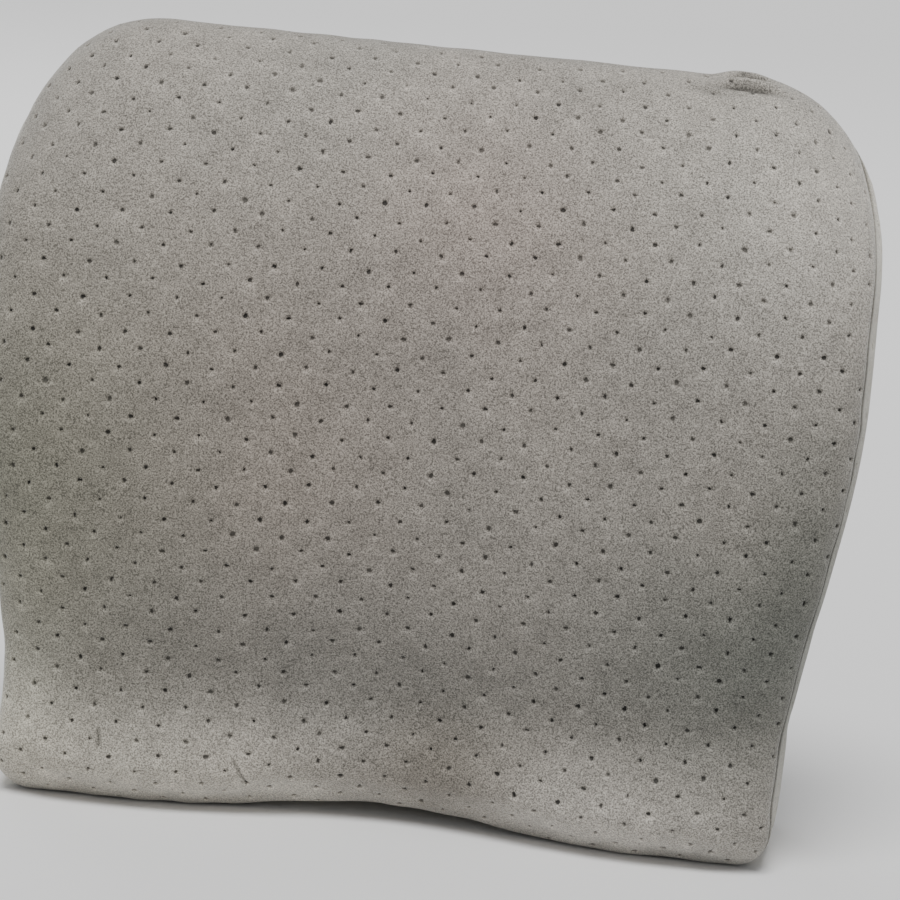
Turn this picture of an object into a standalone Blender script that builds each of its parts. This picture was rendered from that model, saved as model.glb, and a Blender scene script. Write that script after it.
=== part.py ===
# Lumbar support cushion: a foam block in a liner and a zipped cover, with a buckled strap behind.
# Metres, +Z up. The cushion stands on its base, its front faces -Y, and its flat back lies on one plane.
import math

import bmesh
import bpy
import numpy as np
from mathutils import Matrix, Vector

# The cushion's outline, seen from the front
upper_width = 0.340
lower_width = 0.304
height = 0.302
waist_low = 0.032
waist_high = 0.185
top_corner_width = 0.058
top_corner_height = 0.078
bottom_corner_radius = 0.014
base_arch_rise = 0.005
base_arch_half_width = 0.080

# The cushion's depth, measured forward from the back plane
cushion_depth = 0.108
# Share of the height, and share of the cushion's depth there, at the lobes on both sides
profile = (
    (0.00, 0.870),
    (0.055, 0.965),
    (0.155, 0.875),
    (0.28, 0.945),
    (0.43, 1.000),
    (0.60, 0.955),
    (0.78, 0.800),
    (0.91, 0.610),
    (1.00, 0.460),
)
# Share of the height, and how far the middle lies behind the lobes there
middle_recess = ((0.00, 0.020), (0.15, 0.016), (0.45, 0.011), (1.00, 0.004))
recess_half_width = 0.105

# Where the front panel rolls over to its seam
roll_share = 0.86
edge_roll_depth = 0.012
top_seam_depth = 0.024
top_blend = 0.080
back_seam_depth = 0.012
back_roll_share = 0.94
band_bulge = 0.0025

# Layers, from the outside in
cover_thickness = 0.0020
liner_thickness = 0.0007
layer_gap = 0.0003
seam_gap = 0.0003

# The zip across the lower back
zip_height = 0.050
zip_length = 0.245
tape_width = 0.0105
tape_thickness = 0.0008
tape_depth = 0.0014
coil_width = 0.0026
coil_height = 0.0019
coil_rounding = 0.00038
stop_length = 0.0024
stop_height = 0.0023
stop_rounding = 0.00038
slider_length = 0.013
slider_wall = 0.0012
pull_length = 0.024
pull_width = 0.0070
pull_thickness = 0.0012
pull_rounding = 0.0003
pull_neck_length = 0.0043
pull_pin_radius = 0.00075
pull_pin_rise = 0.0024
pull_wall = 0.0009
post_width = 0.0012

# The strap across the back and its patches
strap_height = 0.165
strap_width = 0.030
strap_thickness = 0.0014
strap_stand_off = 0.0170
strap_ply_half_gap = 0.0009
strap_root_x = 0.150
strap_foot_x = 0.132
strap_level_x = 0.100
patch_length = 0.034
patch_width = 0.038
patch_thickness = 0.0010
patch_rounding = 0.00025

# The side-release buckle and the adjuster
buckle_mouth_x = -0.010
buckle_width = 0.040
buckle_thickness = 0.0095
female_length = 0.034
male_length = 0.020
male_thickness = 0.0064
buckle_wall = 0.0018
buckle_side_wall = 0.0034
buckle_rounding_share = 0.2
mouth_depth = 0.0245
window_end = 0.0147
prong_length = 0.0220
barb_length = 0.0110
tongue_length = 0.0176
tongue_half_width = 0.0044
arm_width = 0.0044
barb_width = 0.0066
rail_radius = 0.0015
rail_slot = 0.0042
webbing_clearance = 0.0006
adjuster_x = 0.088
adjuster_length = 0.016
adjuster_wall = 0.0016
adjuster_side = 0.0022
adjuster_rounding = 0.0008
adjuster_bar_width = 0.0032
running_gap = 0.0003
short_ply_length = 0.022
tail_beyond_adjuster = 0.004

# The blank care label
label_width = 0.022
label_height = 0.034
label_thickness = 0.0004
label_x = -0.095
label_z = 0.092

# How finely the cushion's surfaces are divided
bottom_steps = 6
corner_steps = 3
side_steps = 8
top_corner_steps = 5
top_steps = 5
front_shares = (0.30, 0.55, 0.74)
roll_steps = 4
back_shares = (0.72, 0.38)
back_roll_steps = 2
round_sides = 16
bevel_segments = 2
ramp_points = 8
spread_points = 5
turn_points = 9
spread_length = 0.010

for leftover in list(bpy.data.objects):
    bpy.data.objects.remove(leftover)

collections = {}
for collection_name in ("lumbar_cushion", "cutters"):
    collections[collection_name] = bpy.data.collections.new(collection_name)
    bpy.context.scene.collection.children.link(collections[collection_name])


def material(name, colour, roughness, metallic=0.0):
    made = bpy.data.materials.new(name)
    made.use_nodes = True
    shader = made.node_tree.nodes["Principled BSDF"]
    shader.inputs["Base Color"].default_value = (*colour, 1)
    shader.inputs["Roughness"].default_value = roughness
    shader.inputs["Metallic"].default_value = metallic
    made.diffuse_color = (*colour, 1)
    return made


velour = material("velour", (0.27, 0.255, 0.225), 0.9)
band_velour = material("band_velour", (0.30, 0.285, 0.25), 0.9)
air_mesh = material("air_mesh", (0.20, 0.195, 0.18), 0.8)
foam = material("foam", (0.86, 0.84, 0.78), 0.95)
liner = material("liner", (0.80, 0.79, 0.76), 0.9)
zip_tape = material("zip_tape", (0.17, 0.165, 0.155), 0.85)
zip_nylon = material("zip_nylon", (0.14, 0.135, 0.13), 0.4)
zip_metal = material("zip_metal", (0.42, 0.42, 0.43), 0.3, 1.0)
webbing = material("webbing", (0.10, 0.10, 0.10), 0.8)
patch_fabric = material("patch_fabric", (0.12, 0.12, 0.12), 0.85)
moulded_plastic = material("moulded_plastic", (0.035, 0.035, 0.038), 0.35)
label_fabric = material("label_fabric", (0.80, 0.80, 0.78), 0.7)


def smooth(t):
    t = np.clip(t, 0, 1)
    return t * t * (3 - 2 * t)


def curve_through(points, t):
    # A cubic Hermite curve through the points, with slopes taken from the neighbouring points
    at, values = np.array(points).T
    slopes = np.gradient(values, at)
    i = int(np.clip(np.searchsorted(at, t) - 1, 0, len(at) - 2))
    span = at[i + 1] - at[i]
    u = (t - at[i]) / span
    low = (2 * u**3 - 3 * u**2 + 1) * values[i] + (u**3 - 2 * u**2 + u) * span * slopes[i]
    high = (3 * u**2 - 2 * u**3) * values[i + 1] + (u**3 - u**2) * span * slopes[i + 1]
    return float(low + high)


def half_width(z):
    widening = smooth((z - waist_low) / (waist_high - waist_low))
    return (lower_width + (upper_width - lower_width) * widening) / 2


def arch(x):
    return base_arch_rise * (1 - smooth(abs(x) / base_arch_half_width))


def right_outline():
    # Points from the middle of the base round to the middle of the top
    points = []
    corner_x = lower_width / 2 - bottom_corner_radius
    for x in np.linspace(0, corner_x, bottom_steps + 1):
        points.append((x, arch(x)))
    for angle in np.linspace(-math.pi / 2, 0, corner_steps + 1)[1:]:
        x = corner_x + bottom_corner_radius * math.cos(angle)
        points.append((x, bottom_corner_radius * (1 + math.sin(angle))))
    shoulder = height - top_corner_height
    for z in np.linspace(bottom_corner_radius, shoulder, side_steps + 1)[1:]:
        points.append((half_width(z), z))
    flat_end = half_width(shoulder) - top_corner_width
    for angle in np.linspace(0, math.pi / 2, top_corner_steps + 1)[1:]:
        x = flat_end + top_corner_width * math.cos(angle)
        points.append((x, shoulder + top_corner_height * math.sin(angle)))
    for x in np.linspace(flat_end, 0, top_steps + 1)[1:]:
        points.append((x, height))
    return points


def outline():
    right = right_outline()
    return right + [(-x, z) for x, z in reversed(right[1:-1])]


def front_depth(x, z):
    share = z / height
    behind = curve_through(middle_recess, share) * (1 - smooth(abs(x) / recess_half_width))
    return curve_through(profile, share) * cushion_depth - behind


def seam_depth(x, z):
    at_top = float(smooth((z - height + top_blend) / top_blend))
    at_side = front_depth(x, z) - edge_roll_depth
    return at_side + (top_seam_depth - at_side) * at_top


middle_z = height / 2


def towards_middle(point, share):
    return point[0] * share, middle_z + (point[1] - middle_z) * share


def front_ring(points, share):
    ring = []
    for point in points:
        x, z = towards_middle(point, share)
        ring.append((x, -front_depth(x, z), z))
    return ring


def front_roll_ring(points, angle):
    # A quarter ellipse in each section, from the front face down to the seam
    ring = []
    for point in points:
        x, z = towards_middle(point, roll_share + (1 - roll_share) * math.sin(angle))
        seam = seam_depth(*point)
        ring.append((x, -seam - (front_depth(x, z) - seam) * math.cos(angle), z))
    return ring


def back_roll_ring(points, angle):
    ring = []
    for point in points:
        x, z = towards_middle(point, back_roll_share + (1 - back_roll_share) * math.sin(angle))
        ring.append((x, -back_seam_depth * (1 - math.cos(angle)), z))
    return ring


def seam_stretch(points):
    # Where the front seam runs aslant, a gap along Y has to be this many times wider to stay as wide across
    depths = np.array([seam_depth(*point) for point in points])
    places = np.array(points)
    rise = np.roll(depths, -1) - np.roll(depths, 1)
    run = np.linalg.norm(np.roll(places, -1, axis=0) - np.roll(places, 1, axis=0), axis=1)
    return np.hypot(rise, run) / run


def band_ring(points, share, gap, stretched=False):
    # A line round the side band, from share 0 at the front seam to 1 at the back seam
    ring = []
    for point, stretch in zip(points, seam_stretch(points)):
        moved = gap * stretch if stretched else gap
        seam = seam_depth(*point)
        swell = band_bulge * math.sin(math.pi * share) * float(smooth(point[1] / (2 * bottom_corner_radius)))
        outward = 1 + swell / math.dist(point, (0, middle_z))
        x, z = towards_middle(point, outward)
        ring.append((x, -seam + (seam - back_seam_depth) * share + moved, z))
    return ring


def flat_ring(points, share):
    return [(x, 0, z) for x, z in (towards_middle(p, share) for p in points)]


def cushion_rings():
    # The closed outer surface as rings from the front's middle to the back's, and where its parts start
    points = outline()
    rings = [front_ring(points, share) for share in front_shares]
    for angle in np.linspace(0, math.pi / 2, roll_steps + 1):
        rings.append(front_roll_ring(points, angle))
    marks = {"front_seam": len(rings)}
    rings.append(band_ring(points, 0, seam_gap, stretched=True))
    rings.append(band_ring(points, 0.25, 0))
    rings.append(band_ring(points, 0.5, -seam_gap / 2))
    marks["liner_seam"] = len(rings)
    rings.append(band_ring(points, 0.5, seam_gap / 2))
    rings.append(band_ring(points, 0.75, 0))
    rings.append(band_ring(points, 1, -seam_gap))
    marks["back_seam"] = len(rings)
    for angle in np.linspace(math.pi / 2, 0, back_roll_steps + 1):
        rings.append(back_roll_ring(points, angle))
    for share in back_shares:
        rings.append(flat_ring(points, share))
    return np.array(rings), marks


rings, marks = cushion_rings()
ring_count, around = rings.shape[:2]

# Everything hangs on an empty that puts the whole object's middle over the origin
front_reach = -rings[:, :, 1].min()
rear_reach = strap_stand_off + buckle_thickness / 2
frame_empty = bpy.data.objects.new("cushion_frame", None)
collections["lumbar_cushion"].objects.link(frame_empty)
frame_empty.location = (0, (front_reach - rear_reach) / 2, 0)
front_middle = Vector((0, -front_depth(0, middle_z), middle_z))
back_middle = Vector((0, 0, middle_z))


def split_quad(k, corners):
    # The diagonals of the left half mirror those of the right half
    near, far, far_after, near_after = corners
    if k < around // 2:
        return (near, far, far_after), (near, far_after, near_after)
    return (near, far, near_after), (far, far_after, near_after)


def closed_skin():
    # The whole outer surface: its vertices are the rings in order, then the two middles.
    # Every layer splits its quads along the same diagonals, so the layers stay evenly apart.
    skin = bmesh.new()
    vertices = [skin.verts.new(p) for p in rings.reshape(-1, 3)]
    first = skin.verts.new(front_middle)
    last = skin.verts.new(back_middle)
    for ring in range(ring_count - 1):
        for k in range(around):
            a, b = ring * around + k, ring * around + (k + 1) % around
            for corners in split_quad(k, (a, a + around, b + around, b)):
                skin.faces.new([vertices[i] for i in corners])
    for k in range(around):
        after = (k + 1) % around
        skin.faces.new([first, vertices[k], vertices[after]])
        end = (ring_count - 1) * around
        skin.faces.new([last, vertices[end + after], vertices[end + k]])
    skin.normal_update()
    return skin


skin = closed_skin()
skin.verts.index_update()
skin_places = np.array([v.co for v in skin.verts])
skin_normals = np.array([v.normal for v in skin.verts])
ring_normals = skin_normals[:-2].reshape(ring_count, around, 3)
# Both rows of a seam share one direction, so that the gap keeps its width right through the layers
for seam_row in marks.values():
    shared = ring_normals[seam_row - 1] + ring_normals[seam_row]
    ring_normals[[seam_row - 1, seam_row]] = shared / np.linalg.norm(shared, axis=1, keepdims=True)
skin_faces = [[v.index for v in f.verts] for f in skin.faces]
skin.free()


def add_object(name, mesh, made_of, collection="lumbar_cushion"):
    made = bpy.data.objects.new(name, mesh)
    collections[collection].objects.link(made)
    made.parent = frame_empty
    if made_of:
        mesh.materials.append(made_of)
    return made


def mesh_from(name, shape):
    mesh = bpy.data.meshes.new(name)
    shape.normal_update()
    shape.to_mesh(mesh)
    shape.free()
    return mesh


def layer_object(name, first, last, depth, thickness, made_of):
    # A shell that follows the closed surface from one ring to another, between two depths under it.
    # A first or last of None carries it over that middle.
    low = 0 if first is None else first
    high = ring_count - 1 if last is None else last
    shape = bmesh.new()
    walls = []
    for under in (depth, depth + thickness):
        places = rings[low : high + 1] - ring_normals[low : high + 1] * under
        walls.append([[shape.verts.new(p) for p in ring] for ring in places])
    for wall, under, turned in ((walls[0], depth, False), (walls[1], depth + thickness, True)):
        for near, far in zip(wall, wall[1:]):
            for k in range(around):
                after = (k + 1) % around
                for corners in split_quad(k, (near[k], far[k], far[after], near[after])):
                    shape.faces.new(corners[::-1] if turned else corners)
        if first is None:
            cap_with_fan(shape, wall[0], front_middle + Vector((0, under, 0)), turned)
        if last is None:
            cap_with_fan(shape, wall[-1], back_middle - Vector((0, under, 0)), not turned)
    for k in range(around):
        after = (k + 1) % around
        if first is not None:
            shape.faces.new((walls[0][0][k], walls[0][0][after], walls[1][0][after], walls[1][0][k]))
        if last is not None:
            shape.faces.new((walls[0][-1][after], walls[0][-1][k], walls[1][-1][k], walls[1][-1][after]))
    return add_object(name, mesh_from(name, shape), made_of)


def cap_with_fan(shape, ring, middle, turned):
    tip = shape.verts.new(middle)
    for k in range(around):
        corners = (tip, ring[k], ring[(k + 1) % around])
        shape.faces.new(corners[::-1] if turned else corners)


def solid_under(name, depth, made_of):
    mesh = bpy.data.meshes.new(name)
    mesh.from_pydata((skin_places - skin_normals * depth).tolist(), [], skin_faces)
    return add_object(name, mesh, made_of)


def box(name, low, high, made_of=None, collection="lumbar_cushion", bevel=0.0):
    low, high = Vector(low), Vector(high)
    shape = bmesh.new()
    bmesh.ops.create_cube(shape, size=1, matrix=Matrix.Diagonal((*(high - low), 1)))
    made = add_object(name, mesh_from(name, shape), made_of, collection)
    made.location = (low + high) / 2
    if bevel:
        rounding = made.modifiers.new("rounding", "BEVEL")
        rounding.width = bevel
        rounding.segments = bevel_segments
        rounding.limit_method = "ANGLE"
    if collection == "cutters":
        made.hide_render = True
        made.display_type = "WIRE"
    return made


def upright_rod(name, x, y, low, high, radius, made_of=None, collection="cutters"):
    shape = bmesh.new()
    bmesh.ops.create_cone(
        shape, cap_ends=True, segments=round_sides, radius1=radius, radius2=radius, depth=high - low
    )
    made = add_object(name, mesh_from(name, shape), made_of, collection)
    made.location = (x, y, (low + high) / 2)
    if collection == "cutters":
        made.hide_render = True
        made.display_type = "WIRE"
    return made


def combine(target, other, operation):
    step = target.modifiers.new(other.name, "BOOLEAN")
    step.operation = operation
    step.object = other
    step.solver = "EXACT"


def strip(name, path, made_of):
    # Webbing that follows a path in plan, standing on its edge
    path = np.array(path)
    along = np.gradient(path, axis=0)
    along /= np.linalg.norm(along, axis=1, keepdims=True)
    across = np.stack([-along[:, 1], along[:, 0]], axis=1) * strap_thickness / 2
    shape = bmesh.new()
    sections = []
    for place, side in zip(path, across):
        corners = ((place + side, -1), (place - side, -1), (place - side, 1), (place + side, 1))
        sections.append([shape.verts.new((*p, strap_height + end * strap_width / 2)) for p, end in corners])
    for near, far in zip(sections, sections[1:]):
        for k in range(4):
            shape.faces.new((near[k], near[(k + 1) % 4], far[(k + 1) % 4], far[k]))
    shape.faces.new(sections[0][::-1])
    shape.faces.new(sections[-1])
    bmesh.ops.recalc_face_normals(shape, faces=shape.faces)
    return add_object(name, mesh_from(name, shape), made_of)


# The foam, its liner and the cover round it
liner_depth = cover_thickness + layer_gap
foam_depth = liner_depth + liner_thickness + layer_gap
solid_under("foam_core", foam_depth, foam)
layer_object("inner_liner_front", None, marks["liner_seam"] - 1, liner_depth, liner_thickness, liner)
layer_object("inner_liner_back", marks["liner_seam"], None, liner_depth, liner_thickness, liner)
layer_object("cover_front_panel", None, marks["front_seam"] - 1, 0, cover_thickness, velour)
layer_object(
    "cover_side_band", marks["front_seam"], marks["back_seam"] - 1, 0, cover_thickness, band_velour
)

# The back panel is one shell, cut along the zip and round its tapes
slot_half_length = zip_length / 2 + stop_length + 2 * seam_gap
slot_half_height = tape_width + seam_gap
beyond = 2 * upper_width
zip_slot = box(
    "zip_slot",
    (-slot_half_length, -2 * cover_thickness, zip_height - slot_half_height),
    (slot_half_length, cover_thickness, zip_height + slot_half_height),
    collection="cutters",
)
for panel_name, cut_low, cut_high in (
    ("cover_back_upper", zip_height - beyond, zip_height + seam_gap / 2),
    ("cover_back_lower", zip_height - seam_gap / 2, zip_height + beyond),
):
    panel = layer_object(panel_name, marks["back_seam"], None, 0, cover_thickness, air_mesh)
    other_side = box(
        panel_name + "_cut", (-beyond, -beyond, cut_low), (beyond, beyond, cut_high), collection="cutters"
    )
    combine(panel, other_side, "DIFFERENCE")
    combine(panel, zip_slot, "DIFFERENCE")

# The zip: tapes, coils and stops
tape_top = -tape_depth + tape_thickness
coil_low = tape_top + running_gap
coil_high = coil_low + coil_height
tape_half_length = slot_half_length - seam_gap
for side_name, side in (("upper", 1), ("lower", -1)):
    near, far = sorted((zip_height + side * seam_gap / 2, zip_height + side * tape_width))
    box(
        f"zip_tape_{side_name}",
        (-tape_half_length, -tape_depth, near),
        (tape_half_length, tape_top, far),
        zip_tape,
    )
    near, far = sorted((zip_height + side * seam_gap / 2, zip_height + side * coil_width))
    box(
        f"zip_coil_{side_name}",
        (-zip_length / 2, coil_low, near),
        (zip_length / 2, coil_high, far),
        zip_nylon,
        bevel=coil_rounding,
    )
stop_half_width = coil_width + slider_wall / 2
for stop_name, side in (("zip_stop_start", -1), ("zip_stop_end", 1)):
    near, far = sorted(
        (side * (zip_length / 2 + seam_gap), side * (zip_length / 2 + seam_gap + stop_length))
    )
    box(
        stop_name,
        (near, coil_low, zip_height - stop_half_width),
        (far, coil_low + stop_height, zip_height + stop_half_width),
        zip_metal,
        bevel=stop_rounding,
    )

# The slider rides over the coils, with a bridge that carries the pull
slider_x = -zip_length / 2 + slider_length / 2 + seam_gap
channel_half = coil_width + running_gap
slider_half_width = channel_half + slider_wall
slider_top = coil_high + running_gap + slider_wall
slider = box(
    "zip_slider",
    (slider_x - slider_length / 2, coil_low, zip_height - slider_half_width),
    (slider_x + slider_length / 2, slider_top, zip_height + slider_half_width),
    zip_metal,
)
channel = box(
    "slider_channel",
    (slider_x - slider_length, coil_low - coil_height, zip_height - channel_half),
    (slider_x + slider_length, coil_high + running_gap, zip_height + channel_half),
    collection="cutters",
)
combine(slider, channel, "DIFFERENCE")
pin_y = slider_top + pull_pin_rise
eye_half_width = pull_width / 4
post_inner = eye_half_width + running_gap
eye_radius = pull_pin_radius + running_gap + pull_wall
for post_name, side in (("upper_post", 1), ("lower_post", -1)):
    near, far = sorted((zip_height + side * post_inner, zip_height + side * (post_inner + post_width)))
    post = box(
        post_name,
        (slider_x - eye_radius, slider_top - slider_wall / 2, near),
        (slider_x + eye_radius, pin_y + pull_pin_radius + running_gap, far),
        collection="cutters",
    )
    combine(slider, post, "UNION")
pin_end = post_inner + post_width / 2
pin = upright_rod(
    "pull_pin", slider_x, pin_y, zip_height - pin_end, zip_height + pin_end, pull_pin_radius
)
combine(slider, pin, "UNION")

pull = upright_rod(
    "zip_pull", slider_x, pin_y, zip_height - eye_half_width, zip_height + eye_half_width, eye_radius,
    zip_metal, "lumbar_cushion",
)
neck = box(
    "pull_neck",
    (slider_x, pin_y - pull_thickness / 2, zip_height - eye_half_width),
    (slider_x + pull_neck_length, pin_y + pull_thickness / 2, zip_height + eye_half_width),
    collection="cutters",
)
tab = box(
    "pull_tab",
    (slider_x + pull_neck_length - pull_thickness, pin_y - pull_thickness / 2, zip_height - pull_width / 2),
    (slider_x + pull_length, pin_y + pull_thickness / 2, zip_height + pull_width / 2),
    collection="cutters",
    bevel=pull_rounding,
)
eye_hole = upright_rod(
    "eye_hole", slider_x, pin_y, zip_height - pull_width, zip_height + pull_width,
    pull_pin_radius + running_gap,
)
combine(pull, neck, "UNION")
combine(pull, tab, "UNION")
combine(pull, eye_hole, "DIFFERENCE")

# Patches where the strap is sewn to the back
for patch_name, side in (("strap_patch_left", -1), ("strap_patch_right", 1)):
    inner, outer = sorted((side * (strap_root_x - patch_length), side * strap_root_x))
    box(
        patch_name,
        (inner, layer_gap, strap_height - patch_width / 2),
        (outer, layer_gap + patch_thickness, strap_height + patch_width / 2),
        patch_fabric,
        bevel=patch_rounding,
    )

root_y = layer_gap + patch_thickness + layer_gap + strap_thickness / 2
inner_ply_y = strap_stand_off - strap_ply_half_gap
turn_radius = rail_radius + running_gap + strap_thickness / 2


def strap_path(side, rail_x, tail_x):
    # From the sewn root, out to the level run, round the buckle's rail and back to the tail's end.
    # Beside the rail the two plies spread from their own gap to the turn's width.
    points = [(side * strap_root_x, root_y), (side * (strap_root_x + strap_foot_x) / 2, root_y)]
    for share in np.linspace(0, 1, ramp_points):
        x = strap_foot_x + (strap_level_x - strap_foot_x) * share
        points.append((side * x, root_y + (inner_ply_y - root_y) * float(smooth(share))))
    for share in np.linspace(0, 1, spread_points):
        x = rail_x + side * spread_length * (1 - share)
        spread = strap_ply_half_gap + (turn_radius - strap_ply_half_gap) * float(smooth(share))
        points.append((x, strap_stand_off - spread))
    for angle in np.linspace(-math.pi / 2, math.pi / 2, turn_points)[1:-1]:
        points.append(
            (rail_x - side * turn_radius * math.cos(angle), strap_stand_off + turn_radius * math.sin(angle))
        )
    for share in np.linspace(1, 0, spread_points):
        x = rail_x + side * spread_length * (1 - share)
        spread = strap_ply_half_gap + (turn_radius - strap_ply_half_gap) * float(smooth(share))
        points.append((x, strap_stand_off + spread))
    points.append((tail_x, strap_stand_off + strap_ply_half_gap))
    return points


# The buckle's rails carry the strap's turns
female_end_x = buckle_mouth_x - female_length
male_start_x = buckle_mouth_x + running_gap
male_end_x = male_start_x + male_length
female_rail_x = female_end_x + rail_radius
male_rail_x = male_end_x - rail_radius
strip("strap_left", strap_path(-1, female_rail_x, female_rail_x - short_ply_length), webbing)
tail_x = adjuster_x + adjuster_length / 2 + tail_beyond_adjuster
strip("strap_right", strap_path(1, male_rail_x, tail_x), webbing)


def buckle_part(name, start_x, end_x, rail_x, thickness):
    # A rounded block with an open webbing slot and a round rail across the slot's outer side
    made = box(
        name,
        (start_x, strap_stand_off - thickness / 2, strap_height - buckle_width / 2),
        (end_x, strap_stand_off + thickness / 2, strap_height + buckle_width / 2),
        moulded_plastic,
        bevel=thickness * buckle_rounding_share,
    )
    slot_half = strap_width / 2 + webbing_clearance
    reach = rail_radius + rail_slot
    outside = 2 * rail_radius
    near, far = (rail_x - outside, rail_x + reach)
    if rail_x > (start_x + end_x) / 2:
        near, far = (rail_x - reach, rail_x + outside)
    slot = box(
        name + "_slot",
        (near, strap_stand_off - thickness, strap_height - slot_half),
        (far, strap_stand_off + thickness, strap_height + slot_half),
        collection="cutters",
    )
    combine(made, slot, "DIFFERENCE")
    rail_end = slot_half + rail_radius / 2
    rail = upright_rod(
        name + "_rail", rail_x, strap_stand_off, strap_height - rail_end, strap_height + rail_end, rail_radius
    )
    combine(made, rail, "UNION")
    return made


female = buckle_part(
    "buckle_female", female_end_x, buckle_mouth_x, female_rail_x, buckle_thickness
)
cavity_half_width = buckle_width / 2 - buckle_side_wall
cavity_half_height = buckle_thickness / 2 - buckle_wall
cavity_end_x = buckle_mouth_x - mouth_depth
cavity = box(
    "female_cavity",
    (cavity_end_x, strap_stand_off - cavity_half_height, strap_height - cavity_half_width),
    (buckle_mouth_x + buckle_wall, strap_stand_off + cavity_half_height, strap_height + cavity_half_width),
    collection="cutters",
)
window = box(
    "female_windows",
    (cavity_end_x + buckle_wall, strap_stand_off - cavity_half_height, strap_height - buckle_width),
    (cavity_end_x + window_end, strap_stand_off + cavity_half_height, strap_height + buckle_width),
    collection="cutters",
)
combine(female, cavity, "DIFFERENCE")
combine(female, window, "DIFFERENCE")

male = buckle_part("buckle_male", male_start_x, male_end_x, male_rail_x, male_thickness)
prong_half_height = cavity_half_height - running_gap
prong_reach = cavity_half_width - running_gap
prong_root = buckle_mouth_x + rail_slot / 2
tongue = box(
    "male_tongue",
    (
        buckle_mouth_x - tongue_length,
        strap_stand_off - prong_half_height,
        strap_height - tongue_half_width,
    ),
    (prong_root, strap_stand_off + prong_half_height, strap_height + tongue_half_width),
    collection="cutters",
)
combine(male, tongue, "UNION")
for arm_name, side in (("upper_arm", 1), ("lower_arm", -1)):
    inner, outer = sorted(
        (strap_height + side * (prong_reach - 2 * arm_width), strap_height + side * (prong_reach - arm_width))
    )
    arm = box(
        arm_name,
        (buckle_mouth_x - prong_length, strap_stand_off - prong_half_height, inner),
        (prong_root, strap_stand_off + prong_half_height, outer),
        collection="cutters",
    )
    inner, outer = sorted(
        (strap_height + side * (prong_reach - barb_width), strap_height + side * prong_reach)
    )
    barb = box(
        arm_name + "_barb",
        (buckle_mouth_x - prong_length, strap_stand_off - prong_half_height, inner),
        (buckle_mouth_x - prong_length + barb_length, strap_stand_off + prong_half_height, outer),
        collection="cutters",
    )
    combine(male, arm, "UNION")
    combine(male, barb, "UNION")

# The adjuster: a flat sleeve round both plies, open in two windows between its outer bars
sleeve_half_height = strap_ply_half_gap + strap_thickness / 2 + running_gap
sleeve_half_width = strap_width / 2 + webbing_clearance
adjuster = box(
    "strap_adjuster",
    (
        adjuster_x - adjuster_length / 2,
        strap_stand_off - sleeve_half_height - adjuster_wall,
        strap_height - sleeve_half_width - adjuster_side,
    ),
    (
        adjuster_x + adjuster_length / 2,
        strap_stand_off + sleeve_half_height + adjuster_wall,
        strap_height + sleeve_half_width + adjuster_side,
    ),
    moulded_plastic,
    bevel=adjuster_rounding,
)
sleeve = box(
    "adjuster_sleeve",
    (adjuster_x - adjuster_length, strap_stand_off - sleeve_half_height, strap_height - sleeve_half_width),
    (adjuster_x + adjuster_length, strap_stand_off + sleeve_half_height, strap_height + sleeve_half_width),
    collection="cutters",
)
combine(adjuster, sleeve, "DIFFERENCE")
for window_name, side in (("adjuster_window_left", -1), ("adjuster_window_right", 1)):
    near, far = sorted(
        (adjuster_x + side * adjuster_bar_width / 2, adjuster_x + side * adjuster_bar_width * 3 / 2)
    )
    opening = box(
        window_name,
        (near, strap_stand_off, strap_height - sleeve_half_width),
        (far, strap_stand_off + buckle_thickness, strap_height + sleeve_half_width),
        collection="cutters",
    )
    combine(adjuster, opening, "DIFFERENCE")

box(
    "care_label",
    (label_x - label_width / 2, layer_gap, label_z - label_height / 2),
    (label_x + label_width / 2, layer_gap + label_thickness, label_z + label_height / 2),
    label_fabric,
)
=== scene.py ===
import math

import bmesh
import bpy
import numpy as np
from mathutils import Matrix, Vector
from mathutils.geometry import delaunay_2d_cdt


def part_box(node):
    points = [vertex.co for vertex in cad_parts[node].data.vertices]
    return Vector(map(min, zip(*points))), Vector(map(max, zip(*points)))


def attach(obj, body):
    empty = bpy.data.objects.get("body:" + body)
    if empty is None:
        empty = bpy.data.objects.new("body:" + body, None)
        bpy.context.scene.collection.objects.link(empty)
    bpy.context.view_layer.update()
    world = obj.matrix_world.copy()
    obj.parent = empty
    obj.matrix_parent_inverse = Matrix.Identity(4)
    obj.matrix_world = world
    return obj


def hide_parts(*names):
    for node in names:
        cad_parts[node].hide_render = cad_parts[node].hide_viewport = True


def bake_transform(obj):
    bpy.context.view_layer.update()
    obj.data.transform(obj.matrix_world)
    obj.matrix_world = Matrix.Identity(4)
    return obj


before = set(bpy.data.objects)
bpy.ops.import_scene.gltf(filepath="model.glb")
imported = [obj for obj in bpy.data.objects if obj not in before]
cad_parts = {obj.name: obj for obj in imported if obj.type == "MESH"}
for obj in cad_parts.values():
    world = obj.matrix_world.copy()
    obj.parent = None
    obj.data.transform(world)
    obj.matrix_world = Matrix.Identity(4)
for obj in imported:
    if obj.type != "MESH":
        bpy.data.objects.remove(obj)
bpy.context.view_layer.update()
random = np.random.default_rng(7)
print("frame loaded")

frontLow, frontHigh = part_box("cover_front_panel")
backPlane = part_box("cover_back_upper")[1][1]

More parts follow.
